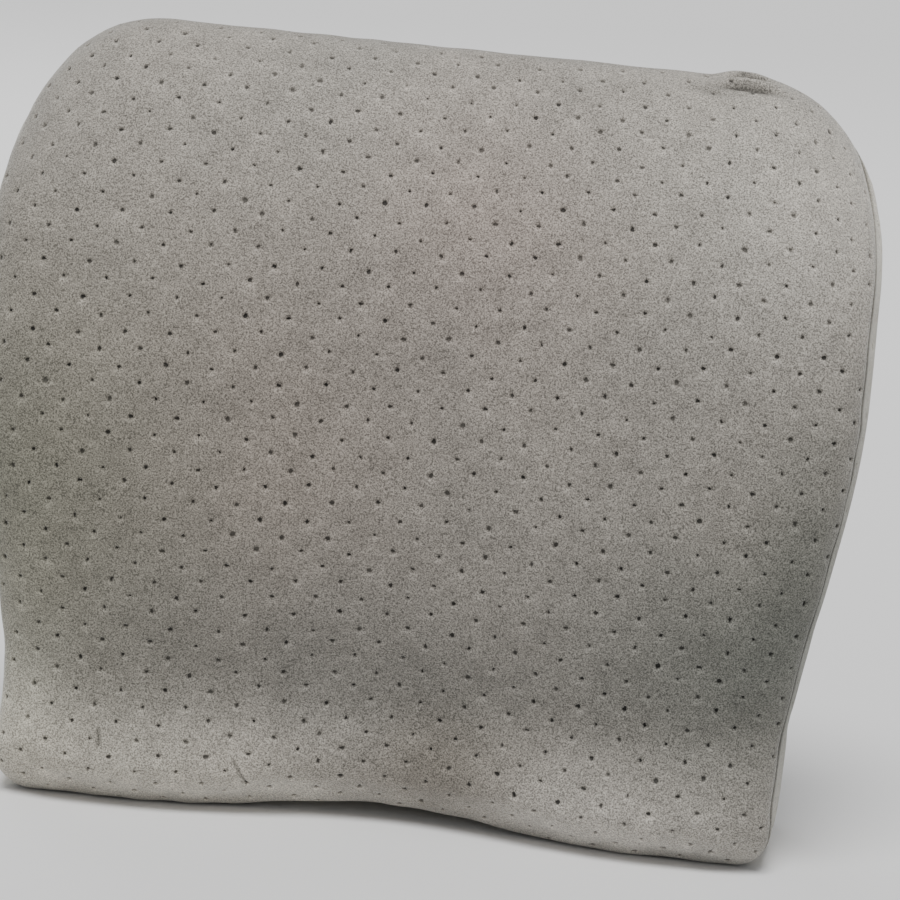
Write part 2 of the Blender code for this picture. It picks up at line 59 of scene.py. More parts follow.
cushion = {
    "height": frontHigh[2],
    "upperWidth": frontHigh[0] - frontLow[0],
    "lowerWidth": 0.304,
    "depth": backPlane - frontLow[1],
    "waistLow": 0.032,
    "waistHigh": 0.185,
    "topCornerWidth": 0.058,
    "topCornerHeight": 0.078,
    "topCornerPower": 2.2,
    "bottomCornerRadius": 0.014,
    "archRise": 0.005,
    "archHalfWidth": 0.080,
    # share of the height, share of the depth at the side lobes
    "profile": (
        (0.00, 0.870), (0.055, 0.965), (0.155, 0.875), (0.28, 0.945), (0.43, 1.000),
        (0.60, 0.955), (0.78, 0.800), (0.91, 0.610), (1.00, 0.460),
    ),
    # share of the height, how far the middle lies behind the lobes
    "middleRecess": ((0.00, 0.020), (0.15, 0.016), (0.45, 0.011), (1.00, 0.004)),
    "recessHalfWidth": 0.105,
    "rollShare": 0.86,
    "rollDepth": 0.012,
    "topCrestDepth": 0.029,
    "topSeamDepth": 0.0145,
    "topDrop": 0.0070,
    "topBlend": 0.080,
    "backSeamDepth": 0.012,
    "backRollShare": 0.94,
    "bandBulge": 0.0016,
    "bandFullWidth": 0.030,
    "bandSwellHeight": 0.03,
}
layers = {"cover": 0.0021, "liner": 0.0005, "gap": 0.00025, "seam": 0.00012}
midHeight = cushion["height"] / 2


# shape helpers


def smooth(t):
    t = np.clip(t, 0, 1)
    return t * t * (3 - 2 * t)


def curveThrough(points, t):
    # a cubic Hermite curve through the points, its slopes taken from the neighbours
    at, values = np.array(points).T
    slopes = np.gradient(values, at)
    i = np.clip(np.searchsorted(at, t) - 1, 0, len(at) - 2)
    span = at[i + 1] - at[i]
    u = (t - at[i]) / span
    low = (2 * u**3 - 3 * u**2 + 1) * values[i] + (u**3 - 2 * u**2 + u) * span * slopes[i]
    high = (3 * u**2 - 2 * u**3) * values[i + 1] + (u**3 - u**2) * span * slopes[i + 1]
    return low + high


def lengthsAlong(points):
    # the length of the line up to each of its points
    return np.concatenate([[0], np.cumsum(np.linalg.norm(np.diff(points, axis=0), axis=1))])


def halfWidth(z):
    # half the base's width, widened by a smooth step up to half the upper width
    c = cushion
    wide = smooth((z - c["waistLow"]) / (c["waistHigh"] - c["waistLow"]))
    return (c["lowerWidth"] + (c["upperWidth"] - c["lowerWidth"]) * wide) / 2


def outlineLoop(count):
    # base, bottom corner arc, side curve, superelliptical top corner and top edge, mirrored and evenly spaced
    c = cushion
    r, rx, rz = c["bottomCornerRadius"], c["topCornerWidth"], c["topCornerHeight"]
    x = np.linspace(0, c["lowerWidth"] / 2 - r, 60)
    base = np.stack([x, c["archRise"] * (1 - smooth(x / c["archHalfWidth"]))], 1)
    a = np.linspace(-np.pi / 2, 0, 20)[1:]
    corner = np.stack([c["lowerWidth"] / 2 - r + r * np.cos(a), r + r * np.sin(a)], 1)
    z = np.linspace(r, c["height"] - rz, 80)[1:]
    side = np.stack([halfWidth(z), z], 1)
    flatEnd = halfWidth(c["height"] - rz) - rx
    a = np.linspace(0, np.pi / 2, 50)[1:]
    power = 2 / c["topCornerPower"]
    shoulder = np.stack([flatEnd + rx * np.cos(a) ** power, c["height"] - rz + rz * np.sin(a) ** power], 1)
    x = np.linspace(flatEnd, 0, 40)[1:]
    top = np.stack([x, np.full_like(x, c["height"])], 1)
    right = np.concatenate([base, corner, side, shoulder, top])
    loop = np.concatenate([right, (right * (-1, 1))[-2:0:-1], right[:1]])
    along = lengthsAlong(loop)
    even = np.linspace(0, along[-1], count, endpoint=False)
    return np.stack([np.interp(even, along, loop[:, k]) for k in (0, 1)], 1), along[-1]


def frontDepth(x, z):
    # the profile over the height, less a recess in the middle that fades out sideways
    c = cushion
    share = z / c["height"]
    behind = curveThrough(c["middleRecess"], share) * (1 - smooth(np.abs(x) / c["recessHalfWidth"]))
    return curveThrough(c["profile"], share) * c["depth"] - behind


def rimDepths(x, z):
    # where the front's roll ends, and the seam: together at the sides, the seam further back at the top
    c = cushion
    atTop = smooth((z - c["height"] + c["topBlend"]) / c["topBlend"])
    atSide = frontDepth(x, z) - c["rollDepth"]
    return (atSide + (c[key] - atSide) * atTop for key in ("topCrestDepth", "topSeamDepth"))


def sectionPoints(share, depth):
    # rows of points: the outline drawn in towards the middle by a share, at a depth in front of the back.
    # Behind the top's crest they sink by a smooth step.
    c = cushion
    x = outline[None, :, 0] * share
    z = midHeight + (outline[None, :, 1] - midHeight) * share
    depth = np.broadcast_to(depth, x.shape)
    behind = smooth((c["topCrestDepth"] - depth) / c["topCrestDepth"])
    near = smooth((z - c["height"] + c["topBlend"]) / c["topBlend"])
    return np.stack([x, backPlane - depth, z - c["topDrop"] * behind * near], 2)


def evenRows(points, rows):
    # every column's section, sampled again at equal steps along its length
    steps = np.linalg.norm(np.diff(points, axis=0), axis=2)
    along = np.concatenate([np.zeros((1, steps.shape[1])), np.cumsum(steps, axis=0)])
    even = np.empty((rows, points.shape[1], 3))
    for column in range(points.shape[1]):
        at = np.linspace(0, along[-1, column], rows)
        for k in range(3):
            even[:, column, k] = np.interp(at, along[:, column], points[:, column, k])
    return even, along[-1]


def frontSurface(rows):
    # from the middle out at the front's own depth, a quarter ellipse to the crest, and back to the seam
    flat, roll, top = 150, 79, 29  # how many rows of points each stretch gets
    share = np.linspace(0, cushion["rollShare"], flat)[:, None] * np.ones(len(outline))
    angle = np.linspace(0, np.pi / 2, roll + 1)[1:, None]
    rolled = cushion["rollShare"] + (1 - cushion["rollShare"]) * np.sin(angle)
    share = np.concatenate([share, rolled * np.ones(len(outline))])
    x, z = outline[:, 0] * share, midHeight + (outline[:, 1] - midHeight) * share
    depth = frontDepth(x, z)
    crest, seam = rimDepths(outline[:, 0], outline[:, 1])
    turned = np.concatenate([np.ones((flat, 1)), np.cos(angle)])
    depth = crest + (depth - crest) * turned
    back = np.linspace(0, 1, top + 1)[1:, None]
    share = np.concatenate([share, np.ones((top, len(outline)))])
    return evenRows(sectionPoints(share, np.concatenate([depth, crest + (seam - crest) * back])), rows)


def bandSurface(rows):
    # from the front seam straight back to the back seam, swelling by a half sine between them where it is wide
    seam = tuple(rimDepths(outline[:, 0], outline[:, 1]))[1]
    share = np.linspace(0, 1, 40)[:, None]
    wide = smooth((seam - cushion["backSeamDepth"]) / cushion["bandFullWidth"])
    clear = smooth(outline[:, 1] / cushion["bandSwellHeight"])
    swell = cushion["bandBulge"] * np.sin(np.pi * share) * clear * wide
    outward = 1 + swell / np.hypot(outline[:, 0], outline[:, 1] - midHeight)
    return evenRows(sectionPoints(outward, seam + (cushion["backSeamDepth"] - seam) * share), rows)


def backSurface(rows):
    # flat out from the middle, then a quarter ellipse forward to the back seam
    flat, roll = 120, 49
    angle = np.linspace(0, np.pi / 2, roll + 1)[1:, None]
    share = np.concatenate([
        np.linspace(0, cushion["backRollShare"], flat)[:, None],
        cushion["backRollShare"] + (1 - cushion["backRollShare"]) * np.sin(angle),
    ])
    depth = np.concatenate([np.zeros((flat, 1)), cushion["backSeamDepth"] * (1 - np.cos(angle))])
    return evenRows(sectionPoints(share, depth * np.ones(len(outline))), rows)


def sampleTable(table, row, column):
    # Catmull-Rom in both directions: rows end in drawn-out ghosts, columns run round
    rows, columns = table.shape[:2]
    ghost = np.concatenate([2 * table[:1] - table[1:2], table, 2 * table[-1:] - table[-2:-1]])
    row = np.clip(row, 0, rows - 1)
    r = np.minimum(np.floor(row).astype(int), rows - 2)
    c = np.floor(column).astype(int)

    def weights(f):
        return (
            ((-f + 2) * f - 1) * f / 2,
            ((3 * f - 5) * f * f + 2) / 2,
            ((-3 * f + 4) * f + 1) * f / 2,
            (f - 1) * f * f / 2,
        )

    total = 0
    for i, across in enumerate(weights(row - r)):
        for j, along in enumerate(weights(column - c)):
            total = total + ghost[r + i, (c + j - 1) % columns] * (across * along)[:, None]
    return total


columnCount = 600  # sections round the outline
outline, outlineLength = outlineLoop(columnCount)
outlineAngle = np.unwrap(np.arctan2(outline[:, 1] - midHeight, outline[:, 0]))
surfaces = {
    "front": frontSurface(120),
    "band": bandSurface(24),
    "back": backSurface(100),
}
print("cushion surfaces worked out")

swelling = {}  # how far each surface has moved, on a coarser table
swellRows, swellColumnStep = 48, 3


def surfacePoint(name, row, column):
    # row runs 0 to 1 across the surface, column 0 to 1 round the outline; the swelling is added
    table = surfaces[name][0]
    place = sampleTable(table, row * (len(table) - 1), column * table.shape[1])
    if name not in swelling:
        return place
    moved = swelling[name]
    moveRow = row * (len(table) - 1) / max(1, len(table) // swellRows)
    moveRow = np.minimum(moveRow, len(moved) - 1)
    return place + sampleTable(moved, moveRow, column * moved.shape[1])


def addObject(name, data):
    made = bpy.data.objects.new(name, data)
    bpy.context.scene.collection.objects.link(made)
    return made


def addPiece(name, mesh, uv=None):
    # a smooth-shaded object at the origin, with its flat cut as its UV map if it has one
    piece = addObject(name, mesh)
    if uv is not None:
        corner = np.empty(len(mesh.loops), np.int32)
        mesh.loops.foreach_get("vertex_index", corner)
        mesh.uv_layers.new(name="flatCut").data.foreach_set("uv", uv[corner].astype(np.float32).ravel())
    mesh.polygons.foreach_set("use_smooth", np.full(len(mesh.polygons), True))
    mesh.update()
    return piece


def meshPiece(name, places, faces):
    mesh = bpy.data.meshes.new(name)
    mesh.from_pydata(places.tolist(), [], faces)
    return addPiece(name, mesh)


def skinRows(counts, columns):
    # rows over the front, the band and the back, from middle to middle, with their outward normals
    grids = []
    for name, count in counts.items():
        share = np.arange(1, count + 1) / count
        if name == "back":
            share = share[-2::-1]
        row, column = np.meshgrid(share, np.arange(columns) / columns, indexing="ij")
        grids.append(surfacePoint(name, row.ravel(), column.ravel()).reshape(len(share), columns, 3))
    grid = np.concatenate(grids)
    across = np.roll(grid, -1, 1) - np.roll(grid, 1, 1)
    normals = np.cross(np.gradient(grid, axis=0), across)
    return grid, normals / np.linalg.norm(normals, axis=2, keepdims=True)


def roundFaces(rows, columns, start=0):
    # quads between neighbouring closed rows, facing out
    i, k = np.meshgrid(np.arange(rows - 1), np.arange(columns), indexing="ij")
    after = (k + 1) % columns
    here, ahead = i * columns, (i + 1) * columns
    return np.stack([here + k, ahead + k, ahead + after, here + after], -1).reshape(-1, 4) + start


def fanFaces(row, tip, turned):
    # triangles from a closed row to one point
    after = np.roll(row, -1)
    pair = (after, row) if turned else (row, after)
    return np.stack([np.full(len(row), tip), *pair], 1)


def shell(name, grid, normals, depth, thickness, hasFront, hasBack):
    # a skin at one depth under the cover, or with a thickness two skins joined by a rim
    rows, columns = grid.shape[:2]
    places, faces = [], []
    depths = (depth, depth + thickness) if thickness else (depth,)
    for layer, under in enumerate(depths):
        start = sum(len(p) for p in places)
        level = (grid - normals * under).reshape(-1, 3)
        tips = np.array([level[:columns].mean(0), level[-columns:].mean(0)])
        places.append(np.concatenate([level, tips]))
        made = roundFaces(rows, columns, start).tolist()
        first, last = np.arange(columns) + start, np.arange(columns) + start + (rows - 1) * columns
        if hasFront:
            made += fanFaces(first, start + rows * columns, False).tolist()
        if hasBack:
            made += fanFaces(last, start + rows * columns + 1, True).tolist()
        faces += [face[::-1] for face in made] if layer else made
    if thickness:
        offset = rows * columns + 2
        edge = np.arange(columns) + (rows - 1) * columns if hasFront else np.arange(columns)
        after = np.roll(edge, -1)
        rim = np.stack([edge, edge + offset, after + offset, after], 1)
        faces += (rim if hasFront else rim[:, ::-1]).tolist()
    piece = meshPiece(name, np.concatenate(places), faces)
    shape = bmesh.new()
    shape.from_mesh(piece.data)
    bmesh.ops.delete(shape, geom=[v for v in shape.verts if not v.link_faces], context="VERTS")
    shape.to_mesh(piece.data)
    shape.free()
    return piece


# cloth: the cover is sewn at its seams and swells a little between them

clothSettings = {
    "voxel": 0.0055,
    "pressure": 4.0,
    "frames": 16,
    "cap": 0.0024,
    "slack": -0.012,
    "seamHold": 0.007,
    "baseHold": 0.002,
}


def applyModifier(piece, modifier):
    # one modifier made part of the mesh
    bpy.context.view_layer.objects.active = piece
    with bpy.context.temp_override(object=piece, active_object=piece, selected_objects=[piece]):
        bpy.ops.object.modifier_apply(modifier=modifier.name)


def coordinates(mesh):
    # the mesh's points as rows of x, y, z
    places = np.empty(len(mesh.vertices) * 3)
    mesh.vertices.foreach_get("co", places)
    return places.reshape(-1, 3)


def squaredDistances(points, targets):
    # |a|^2 + |b|^2 - 2 a.b for every pair
    product = points @ targets.T
    return np.maximum((points**2).sum(1)[:, None] + (targets**2).sum(1) - 2 * product, 0)


def nearestDistance(points, targets):
    # in slices, to keep the table of pairs small
    slices = [points[start : start + 2000] for start in range(0, len(points), 2000)]
    return np.concatenate([np.sqrt(squaredDistances(part, targets).min(1)) for part in slices])


def simulateCover():
    # the whole skin blown up by its pressure, sewn at the seams; how far each of its points moved
    s = clothSettings
    skin = shell("coverSkin", *skinRows({"front": 40, "band": 16, "back": 30}, 200), 0, 0, True, True)
    remesh = skin.modifiers.new("voxels", "REMESH")
    remesh.mode = "VOXEL"
    remesh.voxel_size = s["voxel"]
    applyModifier(skin, remesh)
    before = coordinates(skin.data)
    seams = np.concatenate([surfaces["band"][0][0], surfaces["band"][0][-1]])
    near = nearestDistance(before, seams)
    hold = skin.vertex_groups.new(name="sewn")
    # the seams hold, and the base stays on the floor
    held = np.flatnonzero((near < s["seamHold"]) | (before[:, 2] < s["baseHold"]))
    hold.add(held.tolist(), 1.0, "REPLACE")
    cloth = skin.modifiers.new("cloth", "CLOTH")
    cloth.settings.vertex_group_mass = "sewn"
    cloth.settings.use_pressure = True
    cloth.settings.uniform_pressure_force = s["pressure"]
    cloth.settings.shrink_min = s["slack"]
    cloth.settings.effector_weights.gravity = 0
    cloth.point_cache.frame_start = 1
    cloth.point_cache.frame_end = s["frames"]
    scene = bpy.context.scene
    for number in range(1, s["frames"] + 1):
        scene.frame_set(number)
    seen = skin.evaluated_get(bpy.context.evaluated_depsgraph_get())
    after = coordinates(seen.data)
    scene.frame_set(1)
    moved = after - before
    size = np.linalg.norm(moved, axis=1, keepdims=True)
    moved *= s["cap"] / (s["cap"] + size)  # a soft limit
    bpy.data.objects.remove(skin)
    return before, moved


def spreadToTable(table, before, moved):
    # each table point takes the movement of its nearest simulated points, the nearer the more
    count, softening = 5, 0.002
    rows = []
    for places in table:
        apart = squaredDistances(places, before)
        index = np.argpartition(apart, count, axis=1)[:, :count]
        weight = 1 / (np.sqrt(np.take_along_axis(apart, index, 1)) + softening) ** 2
        rows.append((moved[index] * (weight / weight.sum(1, keepdims=True))[..., None]).sum(1))
    return np.array(rows)


coarse = {
    name: table[:: max(1, len(table) // swellRows), ::swellColumnStep] for name, (table, _) in surfaces.items()
}
simulated = simulateCover()
swelling.update({name: spreadToTable(table, *simulated) for name, table in coarse.items()})
print("cover swelled")


# flat patterns: each panel's own flat cut, laid over its surface


def sectionLength(name, column):
    # a section's length, in proportion between the two nearest columns
    lengths = surfaces[name][1]
    return np.interp(column, np.arange(columnCount + 1), np.append(lengths, lengths[0]))


def frontFlat(name, u, v):
    # a point of the flat cut, polar about the middle: its direction picks the section, its length the row
    angle = np.arctan2(v, u)
    angle = outlineAngle[0] + (angle - outlineAngle[0]) % (2 * np.pi)
    closed = np.append(outlineAngle, outlineAngle[0] + 2 * np.pi)
    column = np.interp(angle, closed, np.arange(columnCount + 1))
    length = sectionLength(name, column)
    reach = np.hypot(u, v)
    return reach / length, column / columnCount, length - reach


def bandFlat(name, u, v):
    # u runs round the outline and v forward from the back seam
    column = u / outlineLength
    width = sectionLength(name, column * columnCount)
    return 1 - v / width, column, np.minimum(v, width - v)


def panelPoint(name, flat, u, v, relief):
    # a point of the flat cut laid on its surface, and how far its relief lifts it
    row, column, fromSeam = flat(name, u, v)
    place = surfacePoint(name, row, column)
    return place, relief(place, row, column, fromSeam)


def panelPlaces(name, flat, uv, depth, relief, turned):
    # the surface point, moved along the normal by its relief less its depth; the normal from two short steps
    step = 0.0004
    u, v = uv[:, 0], uv[:, 1]
    place, raised = panelPoint(name, flat, u, v, relief)
    pairs = []
    for du, dv in ((step, 0), (0, step)):
        ahead = surfacePoint(name, *flat(name, u + du, v + dv)[:2])
        behind = surfacePoint(name, *flat(name, u - du, v - dv)[:2])
        pairs.append(ahead - behind)
    normal = np.cross(*pairs)
    normal /= np.maximum(np.linalg.norm(normal, axis=1, keepdims=True), 1e-12)
    if turned:
        normal = -normal
    return place + normal * (raised - depth)[:, None]


def levelRelief(place, row, column, fromSeam):
    # none, for the underside
    return np.zeros(len(place))


def insideLoop(loop, points):
    # even-odd rule along +u, over all edges at once in slices
    a, b = loop, np.roll(loop, -1, 0)
    inside = np.zeros(len(points), bool)
    for start in range(0, len(points), 4000):
        p = points[start : start + 4000]
        straddles = (a[None, :, 1] > p[:, None, 1]) != (b[None, :, 1] > p[:, None, 1])
        rise = np.where(np.abs(b[:, 1] - a[:, 1]) < 1e-12, 1e-12, b[:, 1] - a[:, 1])
        crossing = a[None, :, 0] + (p[:, None, 1] - a[None, :, 1]) * (b[:, 0] - a[:, 0]) / rise
        inside[start : start + 4000] = (straddles & (p[:, None, 0] < crossing)).sum(1) % 2 == 1
    return inside


def loopNormals(loop):
    # at each point, the chord between its neighbours turned a quarter inwards
    along = np.roll(loop, -1, 0) - np.roll(loop, 1, 0)
    inward = np.stack([-along[:, 1], along[:, 0]], 1)
    return inward / np.linalg.norm(inward, axis=1, keepdims=True)


def evenLoop(loop, spacing):
    # the closed line, sampled again at equal steps
    closed = np.concatenate([loop, loop[:1]])
    along = lengthsAlong(closed)
    count = int(along[-1] / spacing)
    at = np.linspace(0, along[-1], count, endpoint=False)
    return np.stack([np.interp(at, along, closed[:, k]) for k in (0, 1)], 1)


def triangulated(points, edges, loop):
    # a Delaunay net over the points that keeps the edges, cut off outside the loop
    result = delaunay_2d_cdt([Vector(p) for p in points], edges, [], 0, 1e-7)
    places = np.array([v[:] for v in result[0]])
    triangles = np.array([f for f in result[2] if len(f) == 3])
    middle = places[triangles].mean(1)
    triangles = triangles[insideLoop(loop, middle)]
    return places, triangles


def lattice(first, second, low, high, jitter, keepOut=0.0):
    # every whole-number combination of two steps inside a box, each point shaken a little
    span = np.linalg.norm(np.array(high) - low)
    reach = int(span / min(np.linalg.norm(first), np.linalg.norm(second))) + 2
    i, j = np.meshgrid(np.arange(-reach, reach + 1), np.arange(-reach, reach + 1))
    middle = (np.array(low) + high) / 2
    points = middle + i.reshape(-1, 1) * np.array(first) + j.reshape(-1, 1) * np.array(second)
    points = points + random.uniform(-jitter, jitter, points.shape)
    return points[np.all((points > low) & (points < high), axis=1)]


def fillPoints(loop, step, low, high, jitter, margin):
    # a lattice of even triangles inside the loop, kept a margin away from it
    points = lattice((step, 0), (step / 2, step * 0.87), low, high, jitter)
    points = points[insideLoop(loop, points)]
    return points[nearestDistance(points, loop) > margin]


def panelShade(surface, flat, look, uv, circle, lipStart, wellStart, holeCount):
    # 1 on the open cloth; less by bells across the seam and the creases, and in each hole by its own amount
    sides = look["sides"]
    lipEnd, wellEnd = lipStart + holeCount * sides, wellStart + holeCount * sides
    row, column, fromSeam = flat(surface, *uv.T)
    shade = 1 - look["seamShade"] * np.exp(-((fromSeam / look["seamShadeWidth"]) ** 2))
    shade[lipStart:lipEnd] *= look["lipShade"]
    if look["collar"]:
        # painted highlight: the pile painted paler along each hole's lower rim, where light from above falls
        rimHighlight = 1 + look["rimLight"] * (-circle[:, 1]).clip(0)
        shade[lipEnd : 2 * lipEnd - lipStart] *= np.tile(rimHighlight, holeCount)
    shade[wellStart:wellEnd] *= np.repeat(random.uniform(*look["wellShade"], holeCount), sides)
    if look["fine"]:
        place = surfacePoint(surface, row, column)
        deepest = max(fold[3] for fold in folds)
        for start, end, width, deep in folds:
            spread = width * look["foldShadeSpread"]
            groove = foldRelief(place, fromSeam, start, end, spread, deep / deepest).clip(-1, 0)
            shade *= 1 + groove * look["foldShade"]
        for crease in pileCreases:
            groove = (*crease[:3], look["creaseShade"], creaseFade)
            shade *= 1 + grooveRelief(place[:, 0], place[:, 2], *groove)
    return shade


def perforatedPanel(name, surface, flat, loop, look, relief, turned=False):
    # a closed sheet: its face is cut through by small wells with a floor, its rim turned in at the seam
    loop = evenLoop(loop, look["edgeSpacing"])
    inward = loopNormals(loop)
    low, high = loop.min(0), loop.max(0)
    holes = lattice(look["first"], look["second"], low, high, look["jitter"])
    holes = holes[insideLoop(loop, holes)]
    holes = holes[nearestDistance(holes, loop) > look["edgeMargin"]]
    sides = look["sides"]
    turn = np.arange(sides) * 2 * np.pi / sides
    circle = np.stack([np.cos(turn), np.sin(turn)], 1)
    radius = look["radius"] * random.uniform(1 - look["radiusSpread"], 1 + look["radiusSpread"], len(holes))
    # each punched hole is a little longer one way than the other, and its edge is ragged
    skew = random.uniform(-look["squareness"], look["squareness"], (len(holes), 1, 2))
    skew = skew + random.uniform(-look["ragged"], look["ragged"], (len(holes), sides, 1))
    lips = holes[:, None] + circle * radius[:, None, None] * (1 + skew)
    parts, edgeRows = [loop, lips.reshape(-1, 2)], []
    if look["collar"]:
        parts.append((holes[:, None] + circle * (radius + look["collar"])[:, None, None]).reshape(-1, 2))
    for distance in look["edgeRows"]:
        row = loop + inward * distance
        row = row[insideLoop(loop, row)]
        edgeRows.append(row[nearestDistance(row, loop) > distance * 0.93])
    step, rim = look["infill"], look["edgeRows"][-1]
    infill = fillPoints(loop, step, low, high, step * 0.04, rim + step * 0.6)
    clear = look["radius"] + look["collar"] + step * 0.28
    infill = infill[nearestDistance(infill, holes) > clear]
    edgeRows = [row[nearestDistance(row, holes) > clear] for row in edgeRows]
    for fineLow, fineHigh, step in look["fine"]:
        fine = fillPoints(loop, step, fineLow, fineHigh, step * 0.05, rim + step)
        fine = fine[nearestDistance(fine, holes) > look["radius"] + look["collar"] + step * 0.6]
        infill = np.concatenate([infill[~np.all((infill > fineLow) & (infill < fineHigh), axis=1)], fine])
    points = np.concatenate([*parts, *edgeRows, infill])
    edges = [(i, (i + 1) % len(loop)) for i in range(len(loop))]
    flatPoints, triangles = triangulated(points, edges, loop)
    assert len(flatPoints) == len(points), name
    lipStart, lipEnd = len(loop), len(loop) + len(holes) * sides
    # no face where a triangle's three corners lie on one hole's edge
    owner = np.where((triangles >= lipStart) & (triangles < lipEnd), (triangles - lipStart) // sides, -1)
    inHole = (owner[:, 0] >= 0) & (owner[:, 0] == owner[:, 1]) & (owner[:, 1] == owner[:, 2])
    triangles = triangles[~inHole]
    depth = np.zeros(len(points))
    depth[lipStart:lipEnd] = look["lipDrop"]
    top = panelPlaces(surface, flat, flatPoints, depth, relief, turned)

    wellUv = (holes[:, None] + circle * (radius * look["wellTaper"])[:, None, None] * (1 + skew)).reshape(-1, 2)
    well = panelPlaces(surface, flat, wellUv, np.full(len(wellUv), look["wellDepth"]), relief, turned)
    wellStart = len(top)
    k = np.arange(len(holes) * sides)
    after = k - k % sides + (k % sides + 1) % sides
    walls = np.stack([lipStart + k, lipStart + after, wellStart + after, wellStart + k], 1)
    floors = (wellStart + k).reshape(-1, sides)

    inner = fillPoints(loop, look["inner"], low, high, 0, look["inner"] * 0.5)
    innerUv, innerTriangles = triangulated(np.concatenate([loop, inner]), edges, loop)
    assert len(innerUv) == len(loop) + len(inner), name
    under = panelPlaces(surface, flat, innerUv, np.full(len(innerUv), look["thickness"]), levelRelief, turned)
    underStart = wellStart + len(well)
    i = np.arange(len(loop))
    nextOne = (i + 1) % len(loop)
    rim = np.stack([i, underStart + i, underStart + nextOne, nextOne], 1)

    order = slice(None, None, -1) if turned else slice(None)
    faces = triangles[:, order].tolist()
    wallStart = len(faces)
    faces += walls[:, order].tolist() + floors[:, order].tolist()
    innerStart = len(faces)
    faces += (innerTriangles[:, ::-1] + underStart)[:, order].tolist() + rim[:, order].tolist()
    mesh = bpy.data.meshes.new(name)
    mesh.from_pydata(np.concatenate([top, well, under]).tolist(), [], faces)
    slots = np.zeros(len(faces), np.int32)
    slots[wallStart:innerStart] = 1
    slots[innerStart:] = 2
    mesh.polygons.foreach_set("material_index", slots)
    uv = np.concatenate([flatPoints, wellUv, innerUv])
    piece = addPiece(name, mesh, uv)
    shade = panelShade(surface, flat, look, uv, circle, lipStart, wellStart, len(holes))
    piece.data.attributes.new("shade", "FLOAT", "POINT").data.foreach_set("value", shade.astype(np.float32))
    return piece


def gridPiece(name, grid):
    # closed rows of points as one surface, with a flat face at each end
    rows, columns = grid.shape[:2]
    faces = roundFaces(rows, columns)[:, (0, 3, 2, 1)].tolist()
    faces.append(list(range(columns))[::-1])
    faces.append(list(range((rows - 1) * columns, rows * columns)))
    return facedOutwards(meshPiece(name, grid.reshape(-1, 3), faces))


def facedOutwards(piece):
    # all faces turned the same way, out
    shape = bmesh.new()
    shape.from_mesh(piece.data)
    bmesh.ops.recalc_face_normals(shape, faces=shape.faces)
    shape.to_mesh(piece.data)
    shape.free()
    return piece


# materials


def newMaterial(name, colour, roughness):
    # a plain start, whose nodes come after
    made = bpy.data.materials.new(name)
    made.use_nodes = True
    shader = made.node_tree.nodes["Principled BSDF"]
    shader.inputs["Base Color"].default_value = (*colour, 1)
    shader.inputs["Roughness"].default_value = roughness
    return made


class Nodes:
    # short ways to add and join a material's nodes
    def __init__(self, made):
        self.tree = made.node_tree
        self.shader = self.tree.nodes["Principled BSDF"]
        self.places = self.tree.nodes.new("ShaderNodeTexCoord")

    def add(self, kind, **settings):
        node = self.tree.nodes.new(kind)
        for key, value in settings.items():
            setattr(node, key, value)
        return node

    def join(self, source, target):
        self.tree.links.new(source, target)

    def noise(self, scale, detail=2.0, roughness=0.5):
        node = self.add("ShaderNodeTexNoise")
        node.inputs["Scale"].default_value = scale
        node.inputs["Detail"].default_value = detail
        node.inputs["Roughness"].default_value = roughness
        self.join(self.places.outputs["Object"], node.inputs["Vector"])
        return node.outputs["Fac"]

    def ramp(self, source, stops):
        node = self.add("ShaderNodeValToRGB")
        while len(node.color_ramp.elements) < len(stops):
            node.color_ramp.elements.new(0.5)
        for element, (place, colour) in zip(node.color_ramp.elements, stops):
            element.position = place
            element.color = (*colour, 1)
        self.join(source, node.inputs["Fac"])
        return node.outputs["Color"]

    def mixed(self, blend, first, second, factor):
        node = self.add("ShaderNodeMix", data_type="RGBA", blend_type=blend)
        if hasattr(factor, "default_value"):
            self.join(factor, node.inputs["Factor"])
        else:
            node.inputs["Factor"].default_value = factor
        self.join(first, node.inputs["A"])
        self.join(second, node.inputs["B"])
        return node.outputs["Result"]

    def bump(self, height, strength, distance, below=None):
        node = self.add("ShaderNodeBump")
        node.inputs["Strength"].default_value = strength
        node.inputs["Distance"].default_value = distance
        self.join(height, node.inputs["Height"])
        if below:
            self.join(below, node.inputs["Normal"])
        return node.outputs["Normal"]

    def wave(self, direction, scale, distortion, detailScale):
        node = self.add("ShaderNodeTexWave", bands_direction=direction)
        for key, value in (("Scale", scale), ("Distortion", distortion), ("Detail Scale", detailScale)):
            node.inputs[key].default_value = value
        self.join(self.places.outputs["Object"], node.inputs["Vector"])
        return node.outputs["Fac"]

    def paint(self, source, stops, socket="Base Color"):
        self.join(self.ramp(source, stops), self.shader.inputs[socket])

    def emboss(self, height, strength, distance, below=None):
        self.join(self.bump(height, strength, distance, below), self.shader.inputs["Normal"])

    def maths(self, operation, first, second=None, third=None):
        node = self.add("ShaderNodeMath", operation=operation)
        for socket, value in zip(node.inputs, (first, second, third)):
            if value is None:
                continue
            if hasattr(value, "default_value"):
                self.join(value, socket)
            else:
                socket.default_value = value
        return node.outputs[0]


velourLook = {
    "pile": (0.217, 0.2005, 0.176),
    # the side band's pile painted paler than the front's: painted sheen where the band turns to the side
    "bandPileWithSheen": (0.300, 0.278, 0.232),
    "grainScale": 1700.0,
    "sheen": 0.55,
    "sheenRoughness": 0.42,
}


